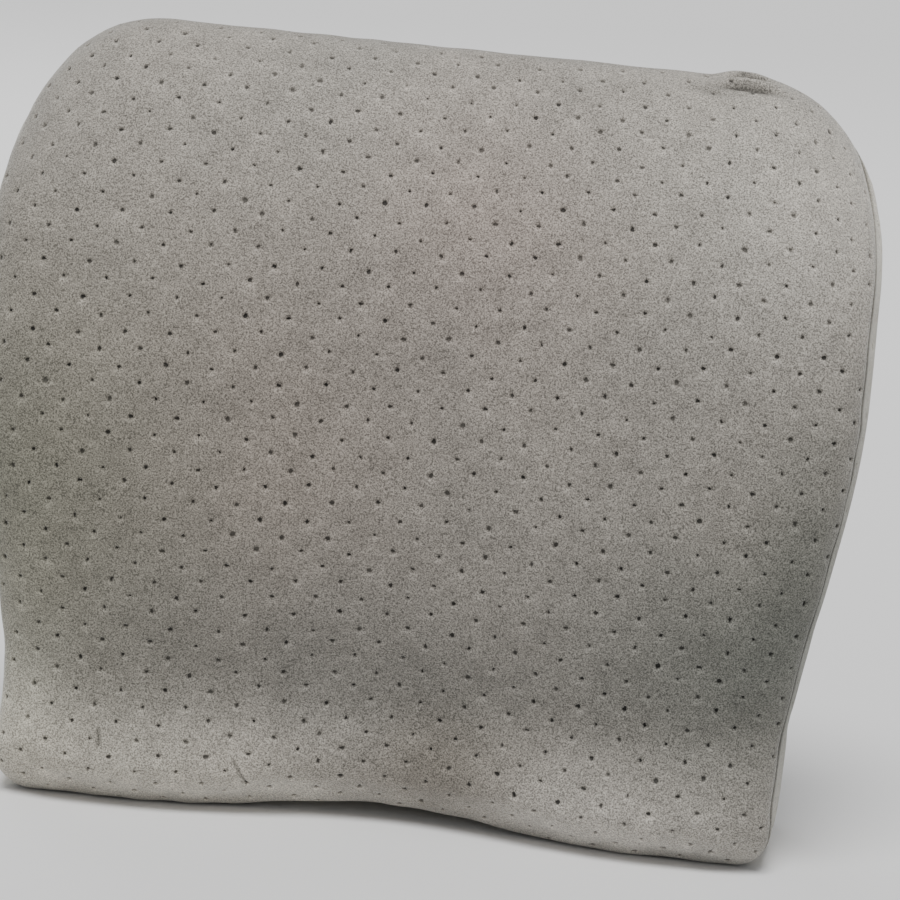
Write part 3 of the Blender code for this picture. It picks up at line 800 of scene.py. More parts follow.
def velourMaterial(name):
    # brushed pile: the piece's tone with its painted light and shade, brushed patches and a fine fibre grain in
    # colour and height
    look = velourLook
    made = newMaterial(name, look["pile"], 0.92)
    n = Nodes(made)
    toneAndLight = n.add("ShaderNodeAttribute", attribute_name="toneAndLight").outputs["Color"]
    broad = n.ramp(n.noise(14.0, 3.0), [(0.30, (0.93, 0.94, 0.95)), (0.70, (1.06, 1.05, 1.05))])
    brushed = n.ramp(n.noise(85.0, 4.0, roughness=0.6), [(0.28, (0.86,) * 3), (0.72, (1.13,) * 3)])
    fibres = n.noise(look["grainScale"], 2.0, roughness=0.6)
    grain = n.ramp(fibres, [(0.35, (0.52,) * 3), (0.65, (1.80,) * 3)])
    colour = toneAndLight
    for layer in (broad, brushed, grain):
        colour = n.mixed("MULTIPLY", colour, layer, 1.0)
    n.join(colour, n.shader.inputs["Base Color"])
    normal = n.bump(n.noise(160.0, 3.0), 0.30, 0.0006)
    n.emboss(fibres, 0.75, 0.0005, normal)
    n.shader.inputs["Sheen Weight"].default_value = look["sheen"]
    n.shader.inputs["Sheen Roughness"].default_value = look["sheenRoughness"]
    n.shader.inputs["Sheen Tint"].default_value = (0.95, 0.94, 0.90, 1)
    n.shader.inputs["Specular IOR Level"].default_value = 0.15
    return made


# soft patches of painted light and shade and of the pile's own tints: painted light where the top rounds over
# and along the base's lips, painted shade in the valley above the base and in the hollows at the sides, and a
# few greener or pinker tints; middle x and z, reach in x and z, and what each colour is times
toneAndLightSpots = (
    ((0.000, 0.318), (0.300, 0.076), (1.50, 1.52, 1.53)),
    ((0.165, 0.262), (0.068, 0.058), (1.50, 1.51, 1.52)),
    ((-0.095, 0.008), (0.063, 0.026), (1.88, 1.88, 1.84)),
    ((-0.032, 0.003), (0.032, 0.013), (1.45, 1.47, 1.47)),
    ((-0.152, 0.047), (0.024, 0.042), (1.56, 1.58, 1.55)),
    ((0.085, 0.006), (0.058, 0.024), (1.72, 1.75, 1.78)),
    ((0.022, 0.028), (0.028, 0.024), (0.66, 0.65, 0.63)),
    ((-0.160, 0.120), (0.080, 0.090), (0.70, 0.73, 0.66)),
    ((-0.050, 0.160), (0.060, 0.070), (0.99, 0.95, 0.94)),
    ((0.020, 0.240), (0.045, 0.050), (1.04, 0.98, 0.98)),
    ((0.000, 0.060), (0.150, 0.030), (0.82, 0.84, 0.85)),
    ((0.133, 0.085), (0.052, 0.052), (0.60, 0.65, 0.65)),
    ((0.155, 0.125), (0.022, 0.055), (0.72, 0.75, 0.74)),
)


def addToneAndLight(piece, pile):
    # the pile's own colour times the panel's painted shade, then times each spot's painted light, shade or tint,
    # faded out from its middle as a bell
    places = coordinates(piece.data)[:, [0, 2]]
    shade = np.empty(len(places), np.float32)
    piece.data.attributes["shade"].data.foreach_get("value", shade)
    toneAndLight = np.outer(shade, pile)
    for middle, reach, colour in toneAndLightSpots:
        near = np.exp(-(((places - middle) / reach) ** 2).sum(1))[:, None]
        toneAndLight *= 1 + (np.array(colour) - 1) * near
    toneAndLight = np.hstack([toneAndLight, np.ones((len(toneAndLight), 1))]).astype(np.float32)
    piece.data.attributes.new("toneAndLight", "FLOAT_COLOR", "POINT").data.foreach_set("color", toneAndLight.ravel())


def scaled(colour, factor):
    return tuple(c * factor for c in colour)


def backingMaterial(name, colour):
    # the knitted backing inside the holes and under the pile
    made = newMaterial(name, colour, 0.95)
    n = Nodes(made)
    n.paint(n.noise(1800.0, 2.0), [(0.3, scaled(colour, 0.7)), (0.7, scaled(colour, 1.25))])
    return made


def foamMaterial():
    # open cells of two sizes
    made = newMaterial("memoryFoam", (0.80, 0.76, 0.66), 0.9)
    n = Nodes(made)
    cells = n.add("ShaderNodeTexVoronoi")
    cells.inputs["Scale"].default_value = 900.0
    n.join(n.places.outputs["Object"], cells.inputs["Vector"])
    n.paint(cells.outputs["Distance"], [(0.1, (0.70, 0.66, 0.56)), (0.6, (0.86, 0.83, 0.74))])
    n.emboss(cells.outputs["Distance"], 0.5, 0.0004)
    return made


def jerseyMaterial():
    # the liner's fine knit, in ribs along the height
    made = newMaterial("linerJersey", (0.74, 0.73, 0.70), 0.9)
    n = Nodes(made)
    ribs = n.wave("X", 260.0, 1.2, 900.0)
    n.paint(ribs, [(0.2, (0.62, 0.61, 0.58)), (0.8, (0.80, 0.79, 0.76))])
    n.emboss(ribs, 0.4, 0.0003)
    return made


def wovenMaterial(name, dark, light, alongScale, acrossScale, roughness=0.8, sheen=0.2):
    # two crossed waves on the piece's own coordinates: the weave's ribs and its picks
    made = newMaterial(name, light, roughness)
    n = Nodes(made)
    ribs, picks = (n.wave(*wave, 0.6, 500.0) for wave in (("X", alongScale), ("Z", acrossScale)))
    height = n.maths("MULTIPLY", ribs, picks)
    worn = n.noise(45.0, 3.0)
    shade = n.maths("MULTIPLY_ADD", worn, 0.25, n.maths("MULTIPLY", height, 0.85))
    n.paint(shade, [(0.1, dark), (0.7, light)])
    n.emboss(height, 0.5, 0.0003)
    n.shader.inputs["Sheen Weight"].default_value = sheen
    return made


def plasticMaterial(name, colour, roughness):
    # moulded plastic: a fine spark-eroded grain and slight handling wear
    made = newMaterial(name, colour, roughness)
    n = Nodes(made)
    worn = n.noise(90.0, 4.0)
    n.paint(worn, [(0.3, (roughness - 0.08,) * 3), (0.75, (roughness + 0.14,) * 3)], "Roughness")
    n.paint(n.noise(30.0, 2.0), [(0.3, scaled(colour, 0.85)), (0.7, scaled(colour, 1.2))])
    n.emboss(n.noise(2200.0, 2.0), 0.15, 0.0001)
    return made


def metalMaterial():
    # die-cast zinc under a gunmetal finish, rubbed brighter in patches
    made = newMaterial("zipMetal", (0.36, 0.36, 0.37), 0.32)
    n = Nodes(made)
    n.shader.inputs["Metallic"].default_value = 1.0
    rubbed = n.noise(260.0, 3.0)
    n.paint(rubbed, [(0.35, (0.33, 0.33, 0.34)), (0.7, (0.42, 0.42, 0.43))])
    n.paint(rubbed, [(0.3, (0.31,) * 3), (0.8, (0.40,) * 3)], "Roughness")
    n.emboss(n.noise(1500.0, 2.0), 0.12, 0.0001)
    return made


velour = velourMaterial("velourPile")
bandVelour = velourMaterial("bandVelourPile")
# the inside of each hole takes the pile's colour with its painted shade, darker in each hole by its own amount
wellDark = newMaterial("holeInside", velourLook["pile"], 0.95)
wellNodes = Nodes(wellDark)
wellToneAndLight = wellNodes.add("ShaderNodeAttribute", attribute_name="toneAndLight")
wellNodes.join(wellToneAndLight.outputs["Color"], wellNodes.shader.inputs["Base Color"])
backing = backingMaterial("velourBacking", (0.16, 0.15, 0.14))
meshYarn = wovenMaterial("airMeshYarn", (0.13, 0.125, 0.115), (0.25, 0.24, 0.22), 900.0, 700.0)
meshInside = backingMaterial("airMeshInside", (0.055, 0.052, 0.048))
zipTape = wovenMaterial("zipTapeTwill", (0.09, 0.088, 0.082), (0.20, 0.195, 0.18), 700.0, 420.0)
nylon = plasticMaterial("zipNylon", (0.13, 0.125, 0.12), 0.38)
metal = metalMaterial()
webbing = wovenMaterial("strapWebbing", (0.030, 0.030, 0.031), (0.085, 0.085, 0.088), 560.0, 300.0)
patchCloth = wovenMaterial("patchCloth", (0.05, 0.05, 0.05), (0.13, 0.128, 0.124), 800.0, 800.0)
plastic = plasticMaterial("mouldedPlastic", (0.028, 0.028, 0.030), 0.38)
labelDark, labelLight = (0.62, 0.62, 0.60), (0.80, 0.80, 0.78)
labelSatin = wovenMaterial("labelSatin", labelDark, labelLight, 1500.0, 900.0, 0.55, sheen=0.1)
foam = foamMaterial()
jersey = jerseyMaterial()
thread = wovenMaterial("sewingThread", (0.13, 0.125, 0.115), (0.26, 0.25, 0.23), 2400.0, 2400.0, 0.7)
blackThread = wovenMaterial("strapThread", (0.03, 0.03, 0.03), (0.11, 0.11, 0.11), 2400.0, 2400.0, 0.6)
print("materials made")


# the velour front

frontLook = {
    "first": (0.0085, -0.0059),
    "second": (0.0178, 0.0012),
    "jitter": 0.0011,
    "radius": 0.00072,
    "radiusSpread": 0.25,
    "squareness": 0.28,
    "ragged": 0.34,
    "lipShade": 0.74,
    "rimLight": 0.30,
    "wellShade": (0.12, 0.55),
    "seamShade": 0.86,
    "seamShadeWidth": 0.0018,
    "foldShade": 0.92,
    "foldShadeSpread": 1.25,
    "creaseShade": 0.55,
    "collar": 0.00075,
    "sides": 10,
    "lipDrop": 0.00034,
    "wellTaper": 0.80,
    "wellDepth": 0.0010,
    "infill": 0.0030,
    "inner": 0.010,
    "edgeSpacing": 0.0028,
    "edgeRows": (0.0007, 0.0014, 0.0022, 0.0034, 0.0050),
    "edgeMargin": 0.0045,
    "thickness": layers["cover"],
    "fine": (
        ((0.080, 0.132), (0.142, 0.174), 0.0008),
        ((-0.072, -0.158), (-0.048, -0.122), 0.0007),
        ((-0.124, -0.140), (-0.106, -0.114), 0.0007),
    ),
}

# creases pinched into the top edge: x and distance from the seam at both ends, half width, and depth,
# which stays under the cover's thickness so that the liner is covered
folds = (
    ((0.096, 0.0135), (0.127, 0.0135), 0.0032, -0.0022),
    ((0.103, 0.0188), (0.125, 0.0172), 0.0018, 0.0019),
    ((0.098, 0.0226), (0.131, 0.0210), 0.0019, -0.0024),
    ((0.095, 0.0268), (0.132, 0.0242), 0.0018, 0.0015),
    ((0.088, 0.0302), (0.112, 0.0294), 0.0022, 0.0006),
)
# short creases brushed into the pile: x and z at both ends, half width, depth
pileCreases = (
    ((-0.0585, 0.0255), (-0.0520, 0.0125), 0.0006, 0.0006),
    ((-0.1110, 0.0330), (-0.1103, 0.0240), 0.0006, 0.0005),
)
foldFade, creaseFade = 0.4, 0.2  # share of the length over which each fades out at its ends
seamLook = {
    "curl": 0.0020,
    "curlWidth": 0.0016,
    "topEase": 0.75,
    "topReach": 0.02,
    "ripple": 0.00025,
    "rippleLength": 0.027,
    "rippleReach": 0.009,
}


def grooveRelief(across, along, start, end, width, depth, fade):
    # a groove along a line: a bell across it, faded out at both ends
    a, b = np.array(start), np.array(end)
    length = np.linalg.norm(b - a)
    direction = (b - a) / length
    offset = np.stack([across, along], 1) - a
    t = offset @ direction / length
    aside = offset @ np.array((-direction[1], direction[0])) + width * 0.4 * np.sin(t * 7)
    faded = smooth(t / fade) * smooth((1 - t) / fade)
    return -depth * np.exp(-((aside / width) ** 2)) * faded


def foldRelief(place, fromSeam, start, end, width, depth):
    # a groove laid out in x and the distance from the seam, on the upper part alone
    groove = grooveRelief(place[:, 0], fromSeam, start, end, width, depth, foldFade)
    return groove * (place[:, 2] > 0.25)


def seamRelief(place, fromSeam, column):
    # the edge turns in by a bell, less at the top, and a wave along the seam fades away from it
    s = seamLook
    arc = column * outlineLength
    atTop = smooth((place[:, 2] - cushion["height"] + s["topReach"]) / s["topReach"])
    curl = -s["curl"] * (1 - s["topEase"] * atTop) * np.exp(-((fromSeam / s["curlWidth"]) ** 2))
    wave = np.sin(arc * 2 * np.pi / s["rippleLength"] + 3 * np.sin(arc * 40))
    return curl + s["ripple"] * wave * np.exp(-fromSeam / s["rippleReach"])


def frontRelief(place, row, column, fromSeam):
    # the seam's relief, the creases, and a slow unevenness from two crossed waves
    relief = seamRelief(place, fromSeam, column)
    for fold in folds:
        relief = relief + foldRelief(place, fromSeam, *fold)
    for crease in pileCreases:
        relief = relief + grooveRelief(place[:, 0], place[:, 2], *crease, creaseFade)
    x, z = place[:, 0], place[:, 2]
    uneven = 0.00018 * np.sin(x * 95 + 2 * np.sin(z * 60)) * np.sin(z * 120 + 1.5 * np.sin(x * 70))
    return relief + uneven


def radialLoop(name, inset):
    # the flat cut's edge: each section's length along its own direction
    length = surfaces[name][1] - inset
    return np.stack([np.cos(outlineAngle), np.sin(outlineAngle)], 1) * length[:, None]


frontPanel = perforatedPanel(
    "velourFront", "front", frontFlat, radialLoop("front", layers["seam"]), frontLook, frontRelief
)
for made in (velour, wellDark, backing):
    frontPanel.data.materials.append(made)
addToneAndLight(frontPanel, velourLook["pile"])
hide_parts("cover_front_panel")
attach(frontPanel, "root")
print("front panel", len(frontPanel.data.polygons))

# the velour side band, one strip joined at the base

bandLook = dict(frontLook, edgeMargin=0.0050, infill=0.0036, seamShadeWidth=0.0036, fine=())
bandJoin = 0.0002  # half the gap where the strip's ends meet


def bandRelief(place, row, column, fromSeam):
    # the seam's relief alone
    return seamRelief(place, fromSeam, column)


def bandLoop(inset):
    # the strip's edge: along the back seam, and back along the front seam
    arc = np.linspace(bandJoin, outlineLength - bandJoin, 900)
    width = sectionLength("band", arc / outlineLength * columnCount)
    backEdge = np.stack([arc, np.full_like(arc, inset)], 1)
    frontEdge = np.stack([arc, width - inset], 1)[::-1]
    return np.concatenate([backEdge, frontEdge])


sideBand = perforatedPanel(
    "velourBand", "band", bandFlat, bandLoop(layers["seam"]), bandLook, bandRelief
)
for made in (bandVelour, wellDark, backing):
    sideBand.data.materials.append(made)
# the band's paler pile is painted sheen
addToneAndLight(sideBand, velourLook["bandPileWithSheen"])
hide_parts("cover_side_band")
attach(sideBand, "root")
print("side band", len(sideBand.data.polygons))

# the air-mesh back, in two pieces either side of the zip

tapeBox = [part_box("zip_tape_upper"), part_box("zip_tape_lower")]
zipLine = (tapeBox[0][0][2] + tapeBox[1][1][2]) / 2
zipSlot = {
    "halfLength": tapeBox[0][1][0] + 0.0003,
    "halfHeight": tapeBox[0][1][2] - zipLine + 0.0003,
    "parting": 0.00015,
}
meshLook = dict(
    frontLook,
    first=(0.0044, 0.0),
    second=(0.0022, 0.0038),
    jitter=0.0,
    radius=0.00145,
    radiusSpread=0.0,
    squareness=0.0,
    ragged=0.0,
    collar=0.0,
    sides=6,
    lipDrop=0.0001,
    wellTaper=0.8,
    wellDepth=0.0013,
    fine=(),
    infill=0.0022,
    edgeMargin=0.0040,
)


def backRelief(place, row, column, fromSeam):
    # the seam's relief, near the seam alone
    return seamRelief(place, fromSeam, column) * (fromSeam < 0.03)


def backLoop(side):
    # the half of the back's cut above (side 1) or below (side -1) the zip, with the slot for its tapes
    whole = radialLoop("back", layers["seam"])
    level = zipLine - midHeight + side * zipSlot["parting"]
    keep = whole[(whole[:, 1] - level) * side > 0.0005]
    steps = np.linalg.norm(np.diff(np.concatenate([keep, keep[:1]]), axis=0), axis=1)
    start = np.argmax(steps) + 1
    keep = np.roll(keep, -start, 0)
    firstX, lastX = keep[-1, 0], keep[0, 0]
    shelf = zipLine - midHeight + side * zipSlot["halfHeight"]
    slot = zipSlot["halfLength"] * np.sign(firstX)
    across = [(slot, level), (slot, shelf), (-slot, shelf), (-slot, level)]
    notch = np.array([(firstX, level), *across, (lastX, level)])
    return np.concatenate([keep, notch])


for pieceName, node, side in (
    ("meshBackUpper", "cover_back_upper", 1),
    ("meshBackLower", "cover_back_lower", -1),
):
    half = perforatedPanel(pieceName, "back", frontFlat, backLoop(side), meshLook, backRelief, turned=True)
    for made in (meshYarn, meshInside, backing):
        half.data.materials.append(made)
    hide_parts(node)
    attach(half, "root")
    print(pieceName, len(half.data.polygons))

# foam core and liner under the cover


foamDepth = layers["cover"] + layers["liner"] + 2 * layers["gap"]
skinCounts = {"front": 60, "band": 16, "back": 40}
skin, skinNormals = skinRows(skinCounts, 240)
foamCore = shell("foamCore", skin, skinNormals, foamDepth, 0, True, True)
foamCore.data.materials.append(foam)
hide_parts("foam_core")
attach(foamCore, "root")
linerSplit = skinCounts["front"] + skinCounts["band"] // 2
for pieceName, node, part, isFront in (
    ("linerFront", "inner_liner_front", slice(None, linerSplit), True),
    ("linerBack", "inner_liner_back", slice(linerSplit, None), False),
):
    linerDepth = layers["cover"] + layers["gap"]
    half = shell(pieceName, skin[part], skinNormals[part], linerDepth, layers["liner"], isFront, not isFront)
    half.data.materials.append(jersey)
    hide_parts(node)
    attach(half, "root")
print("foam and liner made")

# sewn flat pieces and stitches on the back


def softSlab(name, low, high, y, thickness, size, wave=0.00008, edge=0.0006):
    # a cloth piece lying on the back: its face is slowly uneven, and falls to half its thickness at the rim
    lines = (np.linspace(low[k], high[k], size[k]) for k in (0, 1))
    x, z = np.meshgrid(*lines, indexing="ij")
    uneven = wave * (np.sin(x * 190 + z * 60) * np.sin(z * 230 - x * 40))
    rim = np.minimum(np.minimum(x - low[0], high[0] - x), np.minimum(z - low[1], high[1] - z))
    lift = 0.5 + 0.5 * np.sqrt(1 - (1 - np.clip(rim / edge, 0, 1)) ** 2)
    face = np.stack([x, y + thickness * lift + uneven * (rim > 0), z], 2)
    under = np.stack([x, np.full_like(x, y), z], 2)
    rows, columns = x.shape
    i, k = np.meshgrid(np.arange(rows - 1), np.arange(columns - 1), indexing="ij")
    a = (i * columns + k).ravel()
    quads = np.stack([a, a + 1, a + columns + 1, a + columns], 1)
    offset = rows * columns
    index = np.arange(offset).reshape(rows, columns)
    loop = np.concatenate([index[:-1, 0], index[-1, :-1], index[:0:-1, -1], index[0, :0:-1]])
    after = np.roll(loop, -1)
    rimQuads = np.stack([loop, after, after + offset, loop + offset], 1)
    faces = quads.tolist() + (quads[:, ::-1] + offset).tolist() + rimQuads.tolist()
    return facedOutwards(meshPiece(name, np.concatenate([face, under]).reshape(-1, 3), faces))


def tubeRows(path, sideways, radius, sides):
    # rings round a path of points, the first turning direction given
    along = np.gradient(path, axis=0)
    along /= np.linalg.norm(along, axis=1, keepdims=True)
    second = np.cross(along, sideways)
    second /= np.linalg.norm(second, axis=1, keepdims=True)
    first = np.cross(second, along)
    turn = np.arange(sides) * 2 * np.pi / sides
    ring = first[:, None] * np.cos(turn)[:, None] + second[:, None] * np.sin(turn)[:, None]
    return path[:, None] + ring * np.reshape(radius, (-1, 1, 1))


def stitches(name, lines, y, made, body="root", pitch=0.0030, length=0.0023, radius=0.00024):
    # each stitch a short six-sided thread that rises out of the cloth and goes back in
    places, faces = [], []
    rise = np.array((-0.0003, 0.00012, 0.0002, 0.00012, -0.0003))
    width = radius * np.array((0.7, 1.0, 1.0, 1.0, 0.7))
    for start, end in lines:
        start, end = np.array(start), np.array(end)
        span = np.linalg.norm(end - start)
        direction = (end - start) / span
        count = max(1, int(span / pitch))
        for n in range(count):
            middle = start + direction * span * (n + 0.5) / count
            t = np.array((-0.5, -0.3, 0.0, 0.3, 0.5)) * length
            flat = middle + direction * t[:, None]
            path = np.stack([flat[:, 0], y + rise, flat[:, 1]], 1)
            rings = tubeRows(path, np.array((0.0, 1.0, 0.0)), width, 6)
            offset = len(places) * len(rise) * 6
            places.append(rings.reshape(-1, 3))
            faces += (roundFaces(5, 6, offset)[:, ::-1]).tolist()
            faces += [list(range(offset, offset + 6)), list(range(offset + 24, offset + 30))[::-1]]
    piece = facedOutwards(meshPiece(name, np.concatenate(places), faces))
    piece.data.materials.append(made)
    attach(piece, body)
    return piece


def boxLines(low, high):
    # the four sides between two corners
    corners = [low, (high[0], low[1]), high, (low[0], high[1])]
    return list(zip(corners, corners[1:] + corners[:1]))


for pieceName, node in (("zipTapeUpper", "zip_tape_upper"), ("zipTapeLower", "zip_tape_lower")):
    low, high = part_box(node)
    thickness = high[1] - low[1]
    tape = softSlab(pieceName, (low[0], low[2]), (high[0], high[2]), low[1], thickness, (180, 10), 0.00005)
    tape.data.materials.append(zipTape)
    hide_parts(node)
    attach(tape, "root")

welt = {"width": 0.0062, "thickness": 0.0007, "overlap": 0.0010, "lift": 0.00012}
for pieceName, side in (("zipWeltUpper", 1), ("zipWeltLower", -1)):
    near = zipLine + side * (zipSlot["halfHeight"] - welt["overlap"])
    low, high = sorted((near, near + side * welt["width"]))
    reach = zipSlot["halfLength"] + 0.004
    strip = softSlab(
        pieceName, (-reach, low), (reach, high), backPlane + welt["lift"], welt["thickness"], (200, 9), 0.00006
    )
    strip.data.materials.append(zipTape)
    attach(strip, "root")
    lines = [((-reach + 0.001, low + s), (reach - 0.001, low + s)) for s in (0.0014, welt["width"] - 0.0014)]
    stitches(pieceName + "Thread", lines, backPlane + welt["lift"] + welt["thickness"], thread)

# the zip's nylon coils: a flattened wire wound along each tape

coilLook = {"pitch": 0.0013, "wire": 0.00030, "stepsPerTurn": 10, "sides": 5}
for pieceName, node, phase in (
    ("zipCoilUpper", "zip_coil_upper", 0.0),
    ("zipCoilLower", "zip_coil_lower", 0.5),
):
    low, high = np.array(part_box(node))
    middle, half = (low + high) / 2, (high - low) / 2 - coilLook["wire"]
    turns = (half[0] * 2 - 0.001) / coilLook["pitch"]
    t = np.linspace(0, turns, int(turns * coilLook["stepsPerTurn"]))
    angle = (t + phase) * 2 * np.pi
    x = low[0] + 0.0008 + t * coilLook["pitch"]
    path = np.stack([x, middle[1] + half[1] * np.sin(angle), middle[2] + half[2] * np.cos(angle)], 1)
    wire = tubeRows(path, np.array((1.0, 0.0, 0.0)), coilLook["wire"], coilLook["sides"])
    coil = gridPiece(pieceName, wire)
    coil.data.materials.append(nylon)
    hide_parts(node)
    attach(coil, "root")
print("zip made")

# moulded and cast parts: their CAD shape with its edges rounded


def roundedCopy(name, node, made, body, width):
    # the node's own solid with its triangles merged, and every edge sharper than a limit rounded
    source = bpy.data.objects[node]
    mesh = bpy.data.meshes.new_from_object(source.evaluated_get(bpy.context.evaluated_depsgraph_get()))
    mesh.transform(source.matrix_world)
    mesh.materials.clear()
    shape = bmesh.new()
    shape.from_mesh(mesh)
    bmesh.ops.remove_doubles(shape, verts=shape.verts, dist=0.00001)
    bmesh.ops.dissolve_limit(shape, angle_limit=0.02, verts=shape.verts, edges=shape.edges)
    shape.to_mesh(mesh)
    shape.free()
    piece = addPiece(name, mesh)
    piece.data.materials.append(made)
    edges = piece.modifiers.new("edges", "BEVEL")
    edges.width = width
    edges.segments = 2
    edges.limit_method = "ANGLE"
    edges.angle_limit = math.radians(38)
    edges.harden_normals = True
    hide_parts(node)
    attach(piece, body)
    return piece


for pieceName, node, made, body, slot, width in (
    ("zipSliderBody", "zip_slider", metal, "slider_body", "zip_metal", 0.00018),
    ("zipPullTab", "zip_pull", metal, "pull_body", "zip_metal", 0.00016),
    ("zipStopStart", "zip_stop_start", metal, "root", "zip_metal", 0.00015),
    ("zipStopEnd", "zip_stop_end", metal, "root", "zip_metal", 0.00015),
    ("buckleFemale", "buckle_female", plastic, "root", "moulded_plastic", 0.00035),
    ("buckleMale", "buckle_male", plastic, "strap_free_end", "moulded_plastic", 0.00035),
    ("strapAdjuster", "strap_adjuster", plastic, "adjuster_body", "moulded_plastic", 0.00030),
):
    roundedCopy(pieceName, node, made, body, width)
print("buckle, adjuster and slider made")

# the elastic strap: a ribbed section carried along its path

strap = {
    "level": 0.165,
    "width": 0.030,
    "thickness": 0.0014,
    "standOff": 0.0170,
    "plyHalfGap": 0.0009,
    "rootX": 0.150,
    "footX": 0.132,
    "levelX": 0.100,
    "rootY": 0.0023,
    "turnRadius": 0.0025,
    "ribs": 9,
    "ribHeight": 0.00012,
    "step": 0.0011,
    "tailLength": 0.022,
    "tailPastAdjuster": 0.004,
    "railRadius": 0.0015,
}


def strapPath(side, railX, tailX):
    # sewn root, ramp, level run, turn round the rail, and the second ply back to the tail
    s = strap
    out = s["standOff"]
    inner = out - s["plyHalfGap"]
    points = [(side * s["rootX"], s["rootY"]), (side * (s["rootX"] + s["footX"]) / 2, s["rootY"])]
    for share in np.linspace(0, 1, 12):
        x = s["footX"] + (s["levelX"] - s["footX"]) * share
        points.append((side * x, s["rootY"] + (inner - s["rootY"]) * float(smooth(share))))
    spreadLength = 4 * s["turnRadius"]
    widening = s["turnRadius"] - s["plyHalfGap"]
    spread = [
        (railX + side * spreadLength * (1 - share), s["plyHalfGap"] + widening * float(smooth(share)))
        for share in np.linspace(0, 1, 7)
    ]
    points += [(x, out - y) for x, y in spread]
    radius = s["turnRadius"]
    for angle in np.linspace(-math.pi / 2, math.pi / 2, 13)[1:-1]:
        points.append((railX - side * radius * math.cos(angle), out + radius * math.sin(angle)))
    points += [(x, out + y) for x, y in spread[::-1]]
    points.append((tailX, out + s["plyHalfGap"]))
    return np.array(points)


def strapPiece(name, path):
    # even steps along the path; the section is a flat oval with ribs along the strap
    along = lengthsAlong(path)
    at = np.linspace(0, along[-1], int(along[-1] / strap["step"]))
    path = np.stack([np.interp(at, along, path[:, k]) for k in (0, 1)], 1)
    direction = np.gradient(path, axis=0)
    direction /= np.linalg.norm(direction, axis=1, keepdims=True)
    across = np.stack([-direction[:, 1], direction[:, 0]], 1)
    v = np.concatenate([np.linspace(-1, 1, 41), np.linspace(1, -1, 41)[1:-1]])
    side = np.concatenate([np.ones(41), -np.ones(39)])
    half = strap["thickness"] / 2
    body = half * np.sqrt(np.clip(1 - np.abs(v) ** 14, 0, 1)) * side
    ribbed = body - side * strap["ribHeight"] * (1 - np.cos(v * np.pi * strap["ribs"])) / 2 * (np.abs(v) < 0.97)
    places = np.empty((len(path), len(v), 3))
    offset = across[:, None] * ribbed[None, :, None]
    places[..., 0] = path[:, None, 0] + offset[..., 0]
    places[..., 1] = backPlane + path[:, None, 1] + offset[..., 1]
    places[..., 2] = strap["level"] + strap["width"] / 2 * v
    return gridPiece(name, places)


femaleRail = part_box("buckle_female")[0][0] + strap["railRadius"]
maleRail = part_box("buckle_male")[1][0] - strap["railRadius"]
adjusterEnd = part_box("strap_adjuster")[1][0]
strapLeft = strapPiece("strapLeft", strapPath(-1, femaleRail, femaleRail - strap["tailLength"]))
strapRight = strapPiece("strapRight", strapPath(1, maleRail, adjusterEnd + strap["tailPastAdjuster"]))
for piece, node in ((strapLeft, "strap_left"), (strapRight, "strap_right")):
    piece.data.materials.append(webbing)
    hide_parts(node)
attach(strapLeft, "root")
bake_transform(strapRight)
print("straps made")

# patches with their box-and-cross stitching, and the label

sewing = {"patchInset": 0.0022, "crossX": (0.148, 0.1365), "crossInset": 0.003, "labelInset": 0.0014}
for pieceName, node in (("strapPatchLeft", "strap_patch_left"), ("strapPatchRight", "strap_patch_right")):
    low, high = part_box(node)
    patch = softSlab(pieceName, (low[0], low[2]), (high[0], high[2]), low[1], high[1] - low[1], (35, 39))
    patch.data.materials.append(patchCloth)
    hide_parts(node)
    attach(patch, "root")
    inset = sewing["patchInset"]
    lines = boxLines((low[0] + inset, low[2] + inset), (high[0] - inset, high[2] - inset))
    stitches(pieceName + "Thread", lines, high[1], blackThread)
    side = math.copysign(1, low[0] + high[0])
    nearX, farX = sorted(side * x for x in sewing["crossX"])
    reach = strap["width"] / 2 - sewing["crossInset"]
    lowZ, highZ = strap["level"] - reach, strap["level"] + reach
    cross = [((nearX, lowZ), (farX, highZ)), ((nearX, highZ), (farX, lowZ))]
    lines = boxLines((nearX, lowZ), (farX, highZ)) + cross
    sewn = backPlane + strap["rootY"] + strap["thickness"] / 2
    stitches(pieceName + "Cross", lines, sewn, blackThread)

low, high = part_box("care_label")
thickness = high[1] - low[1]
label = softSlab("careLabel", (low[0], low[2]), (high[0], high[2]), low[1], thickness, (23, 35), 0.00006, 0.0004)
label.data.materials.append(labelSatin)
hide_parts("care_label")
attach(label, "root")
inset = sewing["labelInset"]
lines = boxLines((low[0] + inset, low[2] + inset), (high[0] - inset, high[2] - inset))
stitches("careLabelThread", lines, high[1], thread, pitch=0.0026, length=0.0019, radius=0.00016)
print("patches and label made")

# camera, light and floor

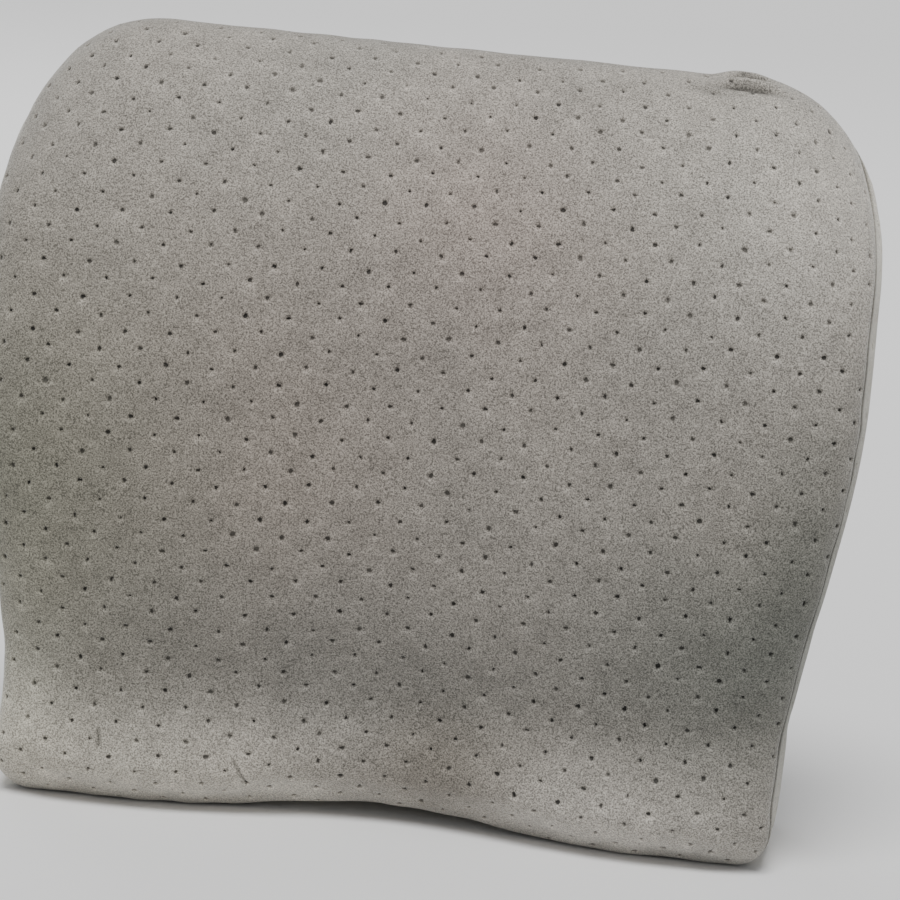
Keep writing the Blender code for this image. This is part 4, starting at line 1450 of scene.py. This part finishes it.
view = {
    "turn": 3.6,
    "rise": 11.0,
    "roll": 5.35,
    "distance": 2.1,
    "lens": 214.3,
    "aim": (0.0118, -0.007, 0.1458),
}
studio = {
    "floorReach": 25.0,
    "floorColour": (0.92, 0.92, 0.92),
    "worldStrength": 0.34,
    "keyPower": 2.6,
    "keyAngle": 26,
    "keyDirection": (0.02, 0.42, -0.9),
    "target": (0, 0, 0.15),
    # name, place, size, power
    "softboxes": (
        ("frontSoftbox", (-0.4, -2.4, 0.9), (1.4, 1.4), 5),
        ("backSoftbox", (-0.8, 1.8, 1.2), (1.2, 1.2), 8),
    ),
}


def makeCamera():
    # at the view's distance from its aim, turned and raised round it, then rolled about its own axis
    camera = addObject("camera", bpy.data.cameras.new("camera"))
    turn, rise, roll = (math.radians(view[k]) for k in ("turn", "rise", "roll"))
    aim = Vector(view["aim"])
    away = Vector((math.sin(turn) * math.cos(rise), -math.cos(turn) * math.cos(rise), math.sin(rise)))
    facing = (-away).to_track_quat("-Z", "Y").to_matrix().to_4x4()
    place = Matrix.Translation(aim + away * view["distance"])
    camera.matrix_world = place @ facing @ Matrix.Rotation(roll, 4, "Z")
    camera.data.lens = view["lens"]
    camera.data.sensor_width = 36
    bpy.context.scene.camera = camera


def areaLight(name, place, target, size, power):
    # a rectangle that faces its target
    data = bpy.data.lights.new(name, "AREA")
    data.shape = "RECTANGLE"
    data.size, data.size_y = size
    data.energy = power
    lamp = addObject(name, data)
    lamp.location = place
    lamp.rotation_euler = (Vector(target) - Vector(place)).to_track_quat("-Z", "Y").to_euler()


def makeStage():
    # a pale floor, an even white sky, two softboxes and a high soft key from the front
    mesh = bpy.data.meshes.new("floor")
    reach = studio["floorReach"]
    corners = [(-reach, -reach, 0), (reach, -reach, 0), (reach, reach, 0), (-reach, reach, 0)]
    mesh.from_pydata(corners, [], [(0, 1, 2, 3)])
    floor = addObject("floor", mesh)
    pale = newMaterial("paleFloor", studio["floorColour"], 0.9)
    mesh.materials.append(pale)
    world = bpy.data.worlds.new("studio")
    world.use_nodes = True
    sky = world.node_tree.nodes["Background"]
    sky.inputs["Color"].default_value = (1, 1, 1, 1)
    sky.inputs["Strength"].default_value = studio["worldStrength"]
    bpy.context.scene.world = world
    for name, place, size, power in studio["softboxes"]:
        areaLight(name, place, studio["target"], size, power)
    key = bpy.data.lights.new("key", "SUN")
    key.energy = studio["keyPower"]
    key.angle = math.radians(studio["keyAngle"])
    lamp = addObject("key", key)
    lamp.rotation_euler = Vector(studio["keyDirection"]).to_track_quat("-Z", "Y").to_euler()


makeCamera()
makeStage()
print("stage set")
